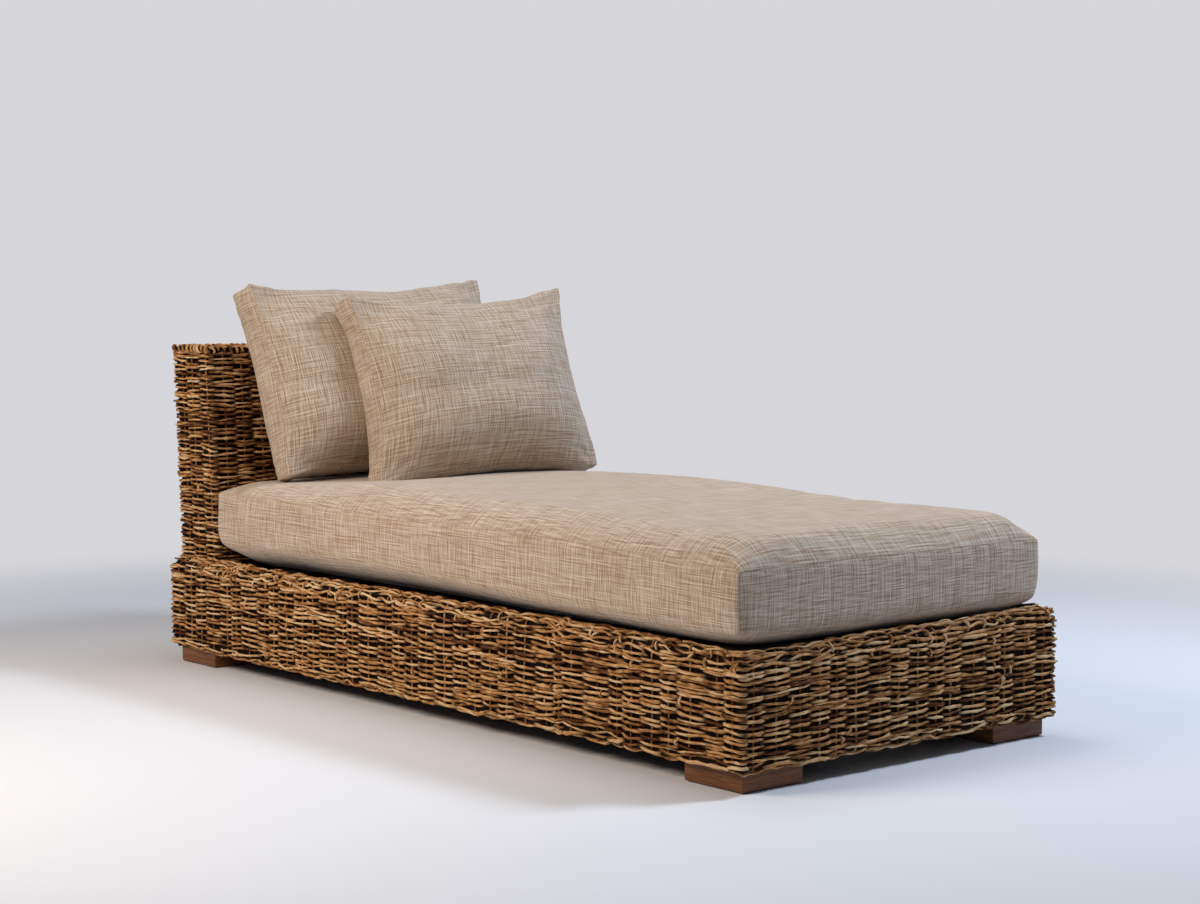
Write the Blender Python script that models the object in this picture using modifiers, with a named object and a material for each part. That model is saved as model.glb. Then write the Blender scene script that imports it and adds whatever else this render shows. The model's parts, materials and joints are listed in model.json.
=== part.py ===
"""A woven daybed: a timber box frame in a woven skin, a low woven back, block feet, a seat cushion and two pillows.

Metres, +Z up. The origin lies on the floor under the middle of the base. The foot end is at +X and the back at -X.
Left and right are those of someone who sits against the back, so left is +Y.
"""

import bmesh
import bpy
from math import pi, radians, sin
from mathutils import Matrix, Vector
from mathutils.bvhtree import BVHTree

# Woven base
BASE_LENGTH = 2.040
BASE_WIDTH = 0.900
BASE_TOP = 0.256
WEAVE_BOTTOM = 0.040
WEAVE_THICKNESS = 0.024
RIM_RADIUS = 0.030
CORNER_RADIUS = 0.012
BORDER_RADIUS = 0.012
ROUND_SEGMENTS = 4

# Woven back
BACK_TOP = 0.785
BACK_DEPTH = 0.180
BACK_LEAN = 0.034
BACK_TOP_RADIUS = 0.016

# Timber frame
RAIL_THICKNESS = 0.020
RAIL_HEIGHT = 0.045
POST_SIDE = 0.040
CLEAT_WIDTH = 0.025
CLEAT_HEIGHT = 0.037
CENTRE_RAIL_WIDTH = 0.040
CENTRE_RAIL_HEIGHT = 0.060
BEARER_THICKNESS = 0.040
BEARER_SPACING = 0.660
BACK_MID_RAIL_TOP = 0.520
TIMBER_ARRIS = 0.0015

# Slatted deck
SLAT_COUNT = 10
SLAT_WIDTH = 0.095
SLAT_THICKNESS = 0.018
SLAT_END_GAP = 0.003
DECK_END_GAP = 0.010

# Feet
FOOT_SIDE = 0.157
FOOT_INSET = 0.0193
FOOT_ARRIS = 0.002
BOSS_SIDE = 0.090
GLIDE_RADIUS = 0.030
GLIDE_THICKNESS = 0.002
GLIDE_SIDES = 24

# Coach screws that hold the posts of the back to the side rails
SCREW_RADIUS = 0.004
SCREW_POINT_GAP = 0.004
SCREW_HEAD_RADIUS = 0.0075
SCREW_HEAD_HEIGHT = 0.0055
SCREW_SIDES = 16

# Seat cushion
SEAT_SIDE_MARGIN = 0.021
SEAT_FOOT_MARGIN = 0.0265
SEAT_BACK_GAP = 0.002
SEAT_SEAM_LOW = 0.286
SEAT_SEAM_HIGH = 0.4115
SEAT_CROWN = 0.080
SEAT_CROWN_REACH = 0.260
SEAT_UNDER_CROWN = 0.060
SEAT_UNDER_REACH = 0.070
SEAT_DRAW_IN = 0.006
SEAT_SIDE_BULGE = 0.008
SEAT_DENT = 0.022
SEAT_DENT_LENGTH = 0.440
SEAT_DENT_RUN = 0.160

# Loose pillows
REAR_PILLOW_WIDTH = 0.704
REAR_PILLOW_HEIGHT = 0.486
REAR_PILLOW_LEAN = 20.0
REAR_PILLOW_TURN = 0.5
REAR_PILLOW_ROLL = 1.6
REAR_PILLOW_SIDEWAYS = -0.012
FRONT_PILLOW_WIDTH = 0.636
FRONT_PILLOW_HEIGHT = 0.465
FRONT_PILLOW_LEAN = 21.0
FRONT_PILLOW_TURN = -2.4
FRONT_PILLOW_ROLL = 0.4
FRONT_PILLOW_SIDEWAYS = 0.121
PILLOW_SEAM_DEPTH = 0.084
PILLOW_FRONT_CROWN = 0.056
PILLOW_BACK_CROWN = 0.042
PILLOW_CROWN_REACH = 0.200
PILLOW_TOP_DRAW_IN = 0.034
PILLOW_SIDE_DRAW_IN = 0.010
PILLOW_SIDE_BULGE = 0.008

# Clearances
FIT = 0.0003
SOFT_FIT = 0.0006

# Planes that the pieces share
HALF_LENGTH = BASE_LENGTH / 2
HALF_WIDTH = BASE_WIDTH / 2
RIM_RETURN = WEAVE_THICKNESS + RAIL_THICKNESS
RAIL_END = HALF_LENGTH - WEAVE_THICKNESS - FIT
RAIL_SIDE = HALF_WIDTH - WEAVE_THICKNESS - FIT
POST_END = RAIL_END - RAIL_THICKNESS - FIT
POST_SIDE_FACE = RAIL_SIDE - RAIL_THICKNESS - FIT
POST_INNER_FACE = POST_SIDE_FACE - POST_SIDE
RAIL_LOW = WEAVE_BOTTOM + WEAVE_THICKNESS + FIT
RAIL_HIGH = BASE_TOP - WEAVE_THICKNESS - FIT
SLAT_LOW = BASE_TOP - SLAT_THICKNESS
CLEAT_HIGH = SLAT_LOW - FIT
CLEAT_LOW = CLEAT_HIGH - CLEAT_HEIGHT
BEARER_HIGH = RAIL_LOW + RAIL_HEIGHT
BACK_INSET = RAIL_THICKNESS + FIT
BACK_REAR = BACK_INSET - HALF_LENGTH
BACK_FRONT = BACK_REAR + BACK_DEPTH
REAR_POST_BACK = BACK_REAR + WEAVE_THICKNESS + FIT
FRONT_POST_FRONT = BACK_FRONT - WEAVE_THICKNESS - FIT
BACK_FRAME_TOP = BACK_TOP - WEAVE_THICKNESS - FIT
SCREW_HEIGHT = RAIL_HIGH - RAIL_HEIGHT / 2
SIDES = {"left": 1, "right": -1}
ENDS = {"foot": 1, "head": -1}


def clear_scene():
    for old in list(bpy.data.objects):
        bpy.data.objects.remove(old, do_unlink=True)


def new_collection(name):
    made = bpy.data.collections.new(name)
    bpy.context.scene.collection.children.link(made)
    return made


def finish(name, colour, roughness, metallic=0.0):
    made = bpy.data.materials.new(name)
    made.use_nodes = True
    shader = made.node_tree.nodes["Principled BSDF"]
    shader.inputs["Base Color"].default_value = (*colour, 1.0)
    shader.inputs["Roughness"].default_value = roughness
    shader.inputs["Metallic"].default_value = metallic
    return made


clear_scene()
PIECES = new_collection("woven_daybed")
CUTTERS = new_collection("cutters")
WOVEN_ABACA = finish("woven_abaca", (0.220, 0.115, 0.045), 0.65)
FRAME_TIMBER = finish("frame_timber", (0.180, 0.090, 0.040), 0.70)
FOOT_TIMBER = finish("foot_timber", (0.130, 0.062, 0.030), 0.50)
LINEN = finish("slub_linen", (0.470, 0.360, 0.250), 0.90)
ZINC = finish("zinc_plated_steel", (0.600, 0.600, 0.580), 0.40, 1.0)
NYLON = finish("black_nylon", (0.020, 0.020, 0.020), 0.60)


def keep(name, collection, material=None):
    """Names the object just made, files it in one collection and gives it its finish."""
    piece = bpy.context.object
    piece.name = name
    piece.data.name = name
    for holder in list(piece.users_collection):
        holder.objects.unlink(piece)
    collection.objects.link(piece)
    if material:
        piece.data.materials.append(material)
    return piece


def cube_between(low, high):
    """Adds a cube and stretches it between two corners, with its origin in its middle."""
    low = Vector(low)
    high = Vector(high)
    bpy.ops.mesh.primitive_cube_add(size=1, location=(low + high) / 2)
    size = high - low
    bpy.context.object.data.transform(Matrix.Diagonal((size.x, size.y, size.z, 1)))


def ease_edges(piece, width, segments=1, limit="ANGLE"):
    eased = piece.modifiers.new("eased_edges", "BEVEL")
    eased.width = width
    eased.segments = segments
    eased.limit_method = limit


def timber(name, x, y, z, material=FRAME_TIMBER):
    """A length of sawn timber between two limits on each axis."""
    cube_between(*zip(sorted(x), sorted(y), sorted(z)))
    piece = keep(name, PIECES, material)
    ease_edges(piece, TIMBER_ARRIS)
    return piece


def lean_at(height):
    """How far the back has moved along X at a height, measured from where it meets the base."""
    return -BACK_LEAN * (height - BASE_TOP) / (BACK_TOP - BASE_TOP)


def lean(piece):
    """Slants a piece of the back so that its level faces stay level."""
    for point in piece.data.vertices:
        point.co.x += lean_at(piece.location.z + point.co.z)


def cylinder_across(radius, sides, middle, length):
    """Adds a cylinder that runs along Y."""
    bpy.ops.mesh.primitive_cylinder_add(
        radius=radius, depth=length, vertices=sides, location=middle, rotation=(pi / 2, 0, 0)
    )


def combine(piece, tool, operation):
    """Adds a tool to a piece or takes it away, and hides the tool."""
    tool.hide_render = True
    tool.display_type = "WIRE"
    step = piece.modifiers.new(tool.name, "BOOLEAN")
    step.operation = operation
    step.solver = "EXACT"
    step.object = tool


def round_edges(piece, top, upright, under):
    """Rounds the edges of a box by one radius round its top, one up its corners and one round its underside."""
    most = max(top, upright, under)
    weights = piece.data.attributes.new("bevel_weight_edge", "FLOAT", "EDGE")
    for edge in piece.data.edges:
        first, second = (piece.data.vertices[index].co.z for index in edge.vertices)
        radius = upright if first * second < 0 else top if first > 0 else under
        weights.data[edge.index].value = radius / most
    ease_edges(piece, most, ROUND_SEGMENTS, "WEIGHT")


def hollow(piece, *spaces):
    """Takes the spaces inside a woven skin out of it."""
    for space in spaces:
        combine(piece, space, "DIFFERENCE")


def build_base_weave():
    """The woven skin of the base: four walls with a rolled rim above and a tucked border below, open in the middle."""
    room_x = HALF_LENGTH - WEAVE_THICKNESS
    room_y = HALF_WIDTH - WEAVE_THICKNESS
    room_low = WEAVE_BOTTOM + WEAVE_THICKNESS
    room_high = BASE_TOP - WEAVE_THICKNESS
    cube_between((-room_x, -room_y, room_low), (room_x, room_y, room_high))
    room = keep("base_room", CUTTERS)
    open_x = HALF_LENGTH - RIM_RETURN
    open_y = HALF_WIDTH - RIM_RETURN
    cube_between((-open_x, -open_y, 0), (open_x, open_y, BASE_TOP + WEAVE_THICKNESS))
    opening = keep("base_opening", CUTTERS)
    cube_between((-HALF_LENGTH, -HALF_WIDTH, WEAVE_BOTTOM), (HALF_LENGTH, HALF_WIDTH, BASE_TOP))
    piece = keep("base_weave", PIECES, WOVEN_ABACA)
    round_edges(piece, RIM_RADIUS, CORNER_RADIUS, BORDER_RADIUS)
    hollow(piece, room, opening)


def build_back_weave():
    """The woven skin of the back: a box that is open below, slanted to the rear."""
    half_width = HALF_WIDTH - BACK_INSET
    foot_of_back = BASE_TOP + FIT
    cube_between(
        (BACK_REAR + WEAVE_THICKNESS, WEAVE_THICKNESS - half_width, foot_of_back - RIM_RADIUS),
        (BACK_FRONT - WEAVE_THICKNESS, half_width - WEAVE_THICKNESS, BACK_TOP - WEAVE_THICKNESS),
    )
    room = keep("back_room", CUTTERS)
    lean(room)
    cube_between((BACK_REAR, -half_width, foot_of_back), (BACK_FRONT, half_width, BACK_TOP))
    piece = keep("back_weave", PIECES, WOVEN_ABACA)
    lean(piece)
    round_edges(piece, BACK_TOP_RADIUS, CORNER_RADIUS, 0)
    hollow(piece, room)
    return piece


def build_rails():
    """The box frame of the base: rails at two heights, cleats, the rail down the middle and what holds it up."""
    heights = {"bottom": (RAIL_LOW, RAIL_LOW + RAIL_HEIGHT), "top": (RAIL_HIGH - RAIL_HEIGHT, RAIL_HIGH)}
    rails = {}
    for level, z in heights.items():
        for side, way in SIDES.items():
            name = f"side_rail_{level}_{side}"
            y = (way * RAIL_SIDE, way * (RAIL_SIDE - RAIL_THICKNESS))
            rails[name] = timber(name, (-RAIL_END, RAIL_END), y, z)
        for end, way in ENDS.items():
            x = (way * RAIL_END, way * (RAIL_END - RAIL_THICKNESS))
            timber(f"{end}_rail_{level}", x, (-POST_SIDE_FACE, POST_SIDE_FACE), z)

    centre_rail_z = (CLEAT_HIGH - CENTRE_RAIL_HEIGHT, CLEAT_HIGH)
    deck_head = FRONT_POST_FRONT + lean_at(min(CLEAT_LOW, centre_rail_z[0])) + FIT
    for side, way in SIDES.items():
        y = (way * POST_SIDE_FACE, way * (POST_SIDE_FACE - CLEAT_WIDTH))
        timber(f"deck_cleat_{side}", (deck_head, POST_END), y, (CLEAT_LOW, CLEAT_HIGH))

    head_rail_x = (deck_head, deck_head + RAIL_THICKNESS)
    head_rail_y = POST_SIDE_FACE - CLEAT_WIDTH - FIT
    timber("deck_rail_head", head_rail_x, (-head_rail_y, head_rail_y), centre_rail_z)
    centre_y = (-CENTRE_RAIL_WIDTH / 2, CENTRE_RAIL_WIDTH / 2)
    timber("centre_rail", (deck_head + RAIL_THICKNESS + FIT, POST_END), centre_y, centre_rail_z)

    for end, way in ENDS.items():
        middle = way * BEARER_SPACING / 2
        x = (middle - BEARER_THICKNESS / 2, middle + BEARER_THICKNESS / 2)
        timber(f"cross_bearer_{end}", x, (-POST_SIDE_FACE, POST_SIDE_FACE), (RAIL_LOW, BEARER_HIGH))
        prop_z = (BEARER_HIGH + FIT, centre_rail_z[0] - FIT)
        timber(f"centre_prop_{end}", x, centre_y, prop_z)
        for side, hand in SIDES.items():
            y = (hand * POST_SIDE_FACE, hand * POST_INNER_FACE)
            timber(f"mid_post_{end}_{side}", x, y, (BEARER_HIGH + FIT, CLEAT_LOW - FIT))
    return rails


def build_posts(rails):
    """The corner posts at the foot and the four tall posts of the back, which the coach screws hold to the rails."""
    spans = {
        "back_post_rear": (REAR_POST_BACK, REAR_POST_BACK + POST_SIDE),
        "back_post_front": (FRONT_POST_FRONT - POST_SIDE, FRONT_POST_FRONT),
    }
    for side, way in SIDES.items():
        y = (way * POST_SIDE_FACE, way * POST_INNER_FACE)
        timber(f"foot_post_{side}", (POST_END, POST_END - POST_SIDE), y, (RAIL_LOW, CLEAT_LOW - FIT))
        for post, x in spans.items():
            piece = timber(f"{post}_{side}", x, y, (RAIL_LOW, BACK_FRAME_TOP))
            lean(piece)
            middle = sum(x) / 2 + lean_at(SCREW_HEIGHT)
            fasten(f"{post}_{side}", middle, way, [piece, rails[f"side_rail_top_{side}"]])


def fasten(label, middle, way, holds):
    """One coach screw, driven outward through a post into a rail, and the hole it stands in."""
    point = RAIL_SIDE - SCREW_POINT_GAP
    under_head = POST_INNER_FACE - FIT
    hole_end = point + FIT
    hole_start = under_head - SCREW_HEAD_HEIGHT
    cylinder_across(
        SCREW_RADIUS + FIT,
        SCREW_SIDES,
        (middle, way * (hole_start + hole_end) / 2, SCREW_HEIGHT),
        hole_end - hole_start,
    )
    hole = keep(f"hole_{label}", CUTTERS)
    for piece in holds:
        combine(piece, hole, "DIFFERENCE")

    head_middle = under_head - SCREW_HEAD_HEIGHT / 2
    cylinder_across(SCREW_HEAD_RADIUS, 6, (middle, way * head_middle, SCREW_HEIGHT), SCREW_HEAD_HEIGHT)
    screw = keep(f"coach_screw_{label}", PIECES, ZINC)
    cylinder_across(
        SCREW_RADIUS, SCREW_SIDES, (middle, way * (head_middle + point) / 2, SCREW_HEIGHT), point - head_middle
    )
    combine(screw, keep(f"shank_{label}", CUTTERS), "UNION")


def build_back_frame():
    """The rails that join the four posts of the back."""
    top = (BACK_FRAME_TOP - RAIL_HEIGHT, BACK_FRAME_TOP)
    middle = (BACK_MID_RAIL_TOP - RAIL_HEIGHT, BACK_MID_RAIL_TOP)
    across = (FIT - POST_INNER_FACE, POST_INNER_FACE - FIT)
    rear = (REAR_POST_BACK, REAR_POST_BACK + RAIL_THICKNESS)
    front = (FRONT_POST_FRONT - RAIL_THICKNESS, FRONT_POST_FRONT)
    lean(timber("back_rail_top_rear", rear, across, top))
    lean(timber("back_rail_top_front", front, across, top))
    lean(timber("back_rail_mid_rear", rear, across, middle))
    lean(timber("back_rail_mid_front", front, across, middle))
    between = (REAR_POST_BACK + POST_SIDE + FIT, FRONT_POST_FRONT - POST_SIDE - FIT)
    for side, way in SIDES.items():
        y = (way * POST_SIDE_FACE, way * (POST_SIDE_FACE - RAIL_THICKNESS))
        lean(timber(f"back_spreader_{side}", between, y, top))


def build_deck():
    """Slats laid across the cleats and the rail down the middle, evenly spaced."""
    first = FRONT_POST_FRONT + DECK_END_GAP + SLAT_WIDTH / 2
    last = HALF_LENGTH - RIM_RETURN - DECK_END_GAP - SLAT_WIDTH / 2
    half_slat = HALF_WIDTH - RIM_RETURN - SLAT_END_GAP
    for number in range(SLAT_COUNT):
        middle = first + (last - first) * number / (SLAT_COUNT - 1)
        x = (middle - SLAT_WIDTH / 2, middle + SLAT_WIDTH / 2)
        timber(f"deck_slat_{number + 1:02d}", x, (-half_slat, half_slat), (SLAT_LOW, BASE_TOP))


def build_feet():
    """A block under each corner with a boss that reaches the post above, and a glide under each block."""
    glide_high = GLIDE_THICKNESS
    block_low = glide_high + FIT
    block_high = WEAVE_BOTTOM - FIT
    for end, lengthwise in ENDS.items():
        for side, sideways in SIDES.items():
            corner = (lengthwise * (HALF_LENGTH - FOOT_INSET), sideways * (HALF_WIDTH - FOOT_INSET))
            inner = (corner[0] - lengthwise * FOOT_SIDE, corner[1] - sideways * FOOT_SIDE)
            x = (corner[0], inner[0])
            y = (corner[1], inner[1])
            cube_between(*zip(sorted(x), sorted(y), (block_low, block_high)))
            foot = keep(f"leg_block_{end}_{side}", PIECES, FOOT_TIMBER)
            ease_edges(foot, FOOT_ARRIS)
            boss_x = (lengthwise * POST_END, lengthwise * (POST_END - BOSS_SIDE))
            boss_y = (sideways * POST_SIDE_FACE, sideways * (POST_SIDE_FACE - BOSS_SIDE))
            boss_z = ((block_low + block_high) / 2, RAIL_LOW - FIT)
            cube_between(*zip(sorted(boss_x), sorted(boss_y), boss_z))
            combine(foot, keep(f"boss_{end}_{side}", CUTTERS), "UNION")

            middle = (sum(x) / 2, sum(y) / 2, glide_high / 2)
            bpy.ops.mesh.primitive_cylinder_add(
                radius=GLIDE_RADIUS, depth=glide_high, vertices=GLIDE_SIDES, location=middle
            )
            keep(f"leg_glide_{end}_{side}", PIECES, NYLON)


def rise(place, half, reach):
    """How much of the crown there is at a place across a form: none at the edge, all of it at the reach."""
    inward = min(1, half * (1 - abs(place)) / reach)
    return 1 - (1 - inward) ** 3


def soft_form(name, width, height, seam, crowns, reaches, draw_in, bulge, cells, flat_back=None, dent=None):
    """A stuffed form from a coarse cage: faces that crown, boxed sides that bulge, edges drawn in between corners.

    Its width lies along Y, its height along Z and its faces look along X. Its sides, top and foot are drawn in by
    three amounts. A flat back ends the rear crown at a plane, and a dent lowers the front crown towards the top: by
    an amount, from a height up, over a run.
    """
    bpy.ops.mesh.primitive_cube_add(size=2)
    piece = keep(name, PIECES, LINEN)
    cage = bmesh.new()
    cage.from_mesh(piece.data)
    for axis, count in enumerate(cells):
        for number in range(1, count):
            plane_at = Vector((0, 0, 0))
            plane_at[axis] = sin(pi / 2 * (2 * number / count - 1))
            plane_normal = Vector((0, 0, 0))
            plane_normal[axis] = 1
            every = cage.verts[:] + cage.edges[:] + cage.faces[:]
            bmesh.ops.bisect_plane(cage, geom=every, plane_co=plane_at, plane_no=plane_normal, dist=1e-5)
    sides_in, top_in, foot_in = draw_in
    for point in cage.verts:
        depth, across, up = point.co
        face = 0 if depth > 0 else 1
        crown = crowns[face]
        if dent and face == 0:
            amount, line, run = dent
            crown -= amount * min(1, max(0, (up * height / 2 - line) / run))
        swell = rise(across, width / 2, reaches[face]) * rise(up, height / 2, reaches[face])
        x = depth * (seam / 2 + crown * swell)
        if flat_back is not None:
            x = max(x, flat_back)
        round_out = bulge * (1 - depth * depth)
        y = across * (width / 2 - sides_in * (1 - up * up))
        z = up * (height / 2 - (top_in if up > 0 else foot_in) * (1 - across * across))
        if abs(across) > 0.999:
            y += across * round_out
        if abs(up) > 0.999:
            z += up * round_out
        point.co = (x, y, z)
    cage.to_mesh(piece.data)
    cage.free()
    smooth = piece.modifiers.new("stuffing", "SUBSURF")
    smooth.levels = 1
    smooth.render_levels = 1
    return piece


def build_seat():
    """The boxed seat cushion, laid flat on the deck, lower where the pillows stand."""
    head = BACK_FRONT + SEAT_BACK_GAP + SEAT_SIDE_BULGE
    foot = HALF_LENGTH - SEAT_FOOT_MARGIN
    middle_height = (SEAT_SEAM_HIGH + SEAT_SEAM_LOW) / 2
    piece = soft_form(
        "seat_cushion",
        BASE_WIDTH - 2 * SEAT_SIDE_MARGIN,
        foot - head,
        SEAT_SEAM_HIGH - SEAT_SEAM_LOW,
        (SEAT_CROWN, SEAT_UNDER_CROWN),
        (SEAT_CROWN_REACH, SEAT_UNDER_REACH),
        (SEAT_DRAW_IN, SEAT_DRAW_IN, SEAT_DRAW_IN),
        SEAT_SIDE_BULGE,
        (2, 8, 14),
        flat_back=BASE_TOP + FIT - middle_height,
        dent=(SEAT_DENT, (foot - head) / 2 - SEAT_DENT_LENGTH, SEAT_DENT_RUN),
    )
    # The form is laid down: its face looks up and its top end lies at the back
    piece.rotation_euler = (0, -pi / 2, 0)
    piece.location = ((head + foot) / 2, 0, middle_height)
    return piece


def solid_tree(piece):
    """The finished shape of a piece in the world, as points and as a tree for ray casts."""
    bpy.context.view_layer.update()
    shaped = piece.evaluated_get(bpy.context.evaluated_depsgraph_get())
    mesh = shaped.to_mesh()
    points = [shaped.matrix_world @ point.co for point in mesh.vertices]
    faces = [tuple(face.vertices) for face in mesh.polygons]
    shaped.to_mesh_clear()
    return points, BVHTree.FromPolygons(points, faces)


def set_down(piece, seat, x):
    """Lowers a piece onto the seat from well above it, at a place along the base."""
    piece.location.x = x
    piece.location.z = BACK_TOP + BASE_WIDTH
    points, tree = solid_tree(piece)
    seat_points, seat_tree = solid_tree(seat)
    down = Vector((0, 0, -1))
    drops = [seat_tree.ray_cast(point, down)[3] for point in points]
    drops += [tree.ray_cast(point, -down)[3] for point in seat_points]
    piece.location.z -= min(drop for drop in drops if drop is not None) - SOFT_FIT


def lean_on(piece, seat, behind, near, far):
    """Finds how far back a piece can stand on the seat before it meets what is behind it."""
    behind_tree = solid_tree(behind)[1]
    while far - near > SOFT_FIT / 8:
        middle = (near + far) / 2
        set_down(piece, seat, middle)
        if solid_tree(piece)[1].overlap(behind_tree):
            near = middle
        else:
            far = middle
    set_down(piece, seat, far + SOFT_FIT)


def build_pillow(name, width, height, tilt, turn, roll, sideways):
    """A loose pillow, tilted back, turned about the upright and rolled in its own plane."""
    piece = soft_form(
        name,
        width,
        height,
        PILLOW_SEAM_DEPTH,
        (PILLOW_FRONT_CROWN, PILLOW_BACK_CROWN),
        (PILLOW_CROWN_REACH, PILLOW_CROWN_REACH),
        (PILLOW_SIDE_DRAW_IN, PILLOW_TOP_DRAW_IN, 0),
        PILLOW_SIDE_BULGE,
        (2, 7, 6),
    )
    piece.rotation_euler = (radians(roll), -radians(tilt), radians(turn))
    piece.location.y = sideways
    return piece


def build_cushions(back_weave):
    """The seat cushion, the pillow that leans on the back and the pillow that leans on that one."""
    seat = build_seat()
    rear = build_pillow(
        "rear_pillow",
        REAR_PILLOW_WIDTH,
        REAR_PILLOW_HEIGHT,
        REAR_PILLOW_LEAN,
        REAR_PILLOW_TURN,
        REAR_PILLOW_ROLL,
        REAR_PILLOW_SIDEWAYS,
    )
    lean_on(rear, seat, back_weave, BACK_FRONT, BACK_FRONT + REAR_PILLOW_HEIGHT)
    front = build_pillow(
        "front_pillow",
        FRONT_PILLOW_WIDTH,
        FRONT_PILLOW_HEIGHT,
        FRONT_PILLOW_LEAN,
        FRONT_PILLOW_TURN,
        FRONT_PILLOW_ROLL,
        FRONT_PILLOW_SIDEWAYS,
    )
    lean_on(front, seat, rear, rear.location.x, rear.location.x + FRONT_PILLOW_HEIGHT)


def centre_on_floor():
    """Hangs every piece on one empty that brings the whole length, the lean of the back included, to the middle."""
    overhang = max(0, -lean_at(BACK_TOP - BACK_TOP_RADIUS) - BACK_INSET)
    bpy.ops.object.empty_add(location=(overhang / 2, 0, 0))
    root = bpy.context.object
    root.name = "daybed_origin"
    for piece in list(PIECES.objects) + list(CUTTERS.objects):
        piece.parent = root


build_base_weave()
built_back = build_back_weave()
build_posts(build_rails())
build_back_frame()
build_deck()
build_feet()
build_cushions(built_back)
centre_on_floor()
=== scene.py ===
"""A woven daybed, dressed: skins of woven vine, linen cushions, hardwood feet and a plain pale stage.

Metres, +Z up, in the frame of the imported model. The foot end is at +X, the back at -X and the left at +Y.
"""

import json
from functools import partial
from itertools import pairwise, product
from math import cos, pi, radians, sin

import bpy
import numpy as np
from bpy.props import FloatProperty, FloatVectorProperty, IntProperty, PointerProperty
from mathutils import Euler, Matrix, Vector
from mathutils.bvhtree import BVHTree

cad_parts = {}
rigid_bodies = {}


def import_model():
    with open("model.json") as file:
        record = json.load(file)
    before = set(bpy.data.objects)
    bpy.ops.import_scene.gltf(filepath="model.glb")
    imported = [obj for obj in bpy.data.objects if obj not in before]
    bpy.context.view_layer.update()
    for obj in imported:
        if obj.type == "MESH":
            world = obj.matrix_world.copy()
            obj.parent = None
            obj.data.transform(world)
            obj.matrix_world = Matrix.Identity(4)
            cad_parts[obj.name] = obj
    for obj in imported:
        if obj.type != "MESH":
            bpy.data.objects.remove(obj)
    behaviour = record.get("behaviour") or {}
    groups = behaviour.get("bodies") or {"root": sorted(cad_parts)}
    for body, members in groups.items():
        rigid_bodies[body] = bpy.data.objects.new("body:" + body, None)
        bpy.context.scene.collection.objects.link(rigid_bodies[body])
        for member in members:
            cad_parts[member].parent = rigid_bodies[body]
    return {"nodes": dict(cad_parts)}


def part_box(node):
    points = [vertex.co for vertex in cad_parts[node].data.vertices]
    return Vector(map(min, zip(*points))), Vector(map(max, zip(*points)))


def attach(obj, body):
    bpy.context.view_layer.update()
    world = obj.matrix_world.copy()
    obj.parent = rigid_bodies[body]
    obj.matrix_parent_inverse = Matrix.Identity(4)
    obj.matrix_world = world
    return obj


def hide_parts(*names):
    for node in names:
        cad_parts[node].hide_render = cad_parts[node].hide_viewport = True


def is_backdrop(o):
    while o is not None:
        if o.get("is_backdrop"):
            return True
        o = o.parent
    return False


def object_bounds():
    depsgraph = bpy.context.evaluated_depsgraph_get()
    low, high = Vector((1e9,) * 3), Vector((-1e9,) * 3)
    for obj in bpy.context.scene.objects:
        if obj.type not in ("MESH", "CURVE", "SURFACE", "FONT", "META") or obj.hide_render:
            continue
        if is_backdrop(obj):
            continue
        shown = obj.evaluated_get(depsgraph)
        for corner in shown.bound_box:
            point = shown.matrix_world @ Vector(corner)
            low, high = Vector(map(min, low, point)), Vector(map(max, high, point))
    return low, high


bl_info = {
    "name": "Woven Daybed",
    "version": (1, 0, 0),
    "blender": (4, 5, 0),
    "location": "3D View > Sidebar > Daybed",
    "description": "Dresses the packed daybed with woven vine, linen, timber and a plain stage",
    "category": "Add Mesh",
}

for left_over in list(bpy.data.objects):
    bpy.data.objects.remove(left_over)
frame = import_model()
CAD_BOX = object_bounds()

MM = 0.001

# The skins, as the solids have them
BASE_LOW, BASE_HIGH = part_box("base_weave")
BACK_LOW, BACK_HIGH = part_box("back_weave")
WALL_MIDDLE = 7.5 * MM
RIM_RADIUS, RIM_RETURN, RIM_LIFT = 30 * MM, 42 * MM, 10 * MM
BORDER_RADIUS, BORDER_DROP = 6 * MM, 4 * MM
CORNER_RADIUS, LEAST_RADIUS = 2.5 * MM, 2 * MM
BACK_DEPTH, BACK_LEAN, BACK_BORDER = 180 * MM, 34 * MM, 8 * MM
# The rim has settled at the right corner of the foot and stands up at the left one
RIM_SETTLING = ((1, -1, -6 * MM), (1, 1, 6 * MM))
SETTLED_RUN = 0.30

# How finely strands are drawn, and how their ends close
STRAND_SIDES = 7
STEPS_PER_STAKE, STEPS_PER_CORNER, STEPS_PER_COIL = 6, 5, 14
STAKE_STEP = 10 * MM
OVAL, TWIST_LENGTH = 0.16, 70 * MM
TIP_LENGTH, TIP_RADIUS = 0.7, 0.35

# Rows: how far they stray, how much they ripple, their share of the swing, and how often they miss a stake
RIM_ROW = (1.4, 2.0, 0.72, 0.30)
BORDER_ROW = (1.3, 1.8, 0.90, 0.35)
WALL_ROW = (1.0, 0.3, 1.00, 0.12)
BACK_ROW = (1.0, 0.3, 1.00, 0.10)
CLOSE_ROWS = 0.96
BORDER_ROWS = 16 * MM
BACKING_DEPTH, BACKING_RADIUS = 7 * MM, 4.8 * MM
# Round a corner rows and the coil bulge, and stakes stand back
CORNER_PUSH, COIL_PUSH, STAKE_DRAW = 5 * MM, 6 * MM, 7 * MM
# The coil: how far out it lies, its reach, the pitch of its turns and its strand's radius
COIL = (-2.0 * MM, 8.0 * MM, 17.5 * MM, 3.1 * MM)
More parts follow.
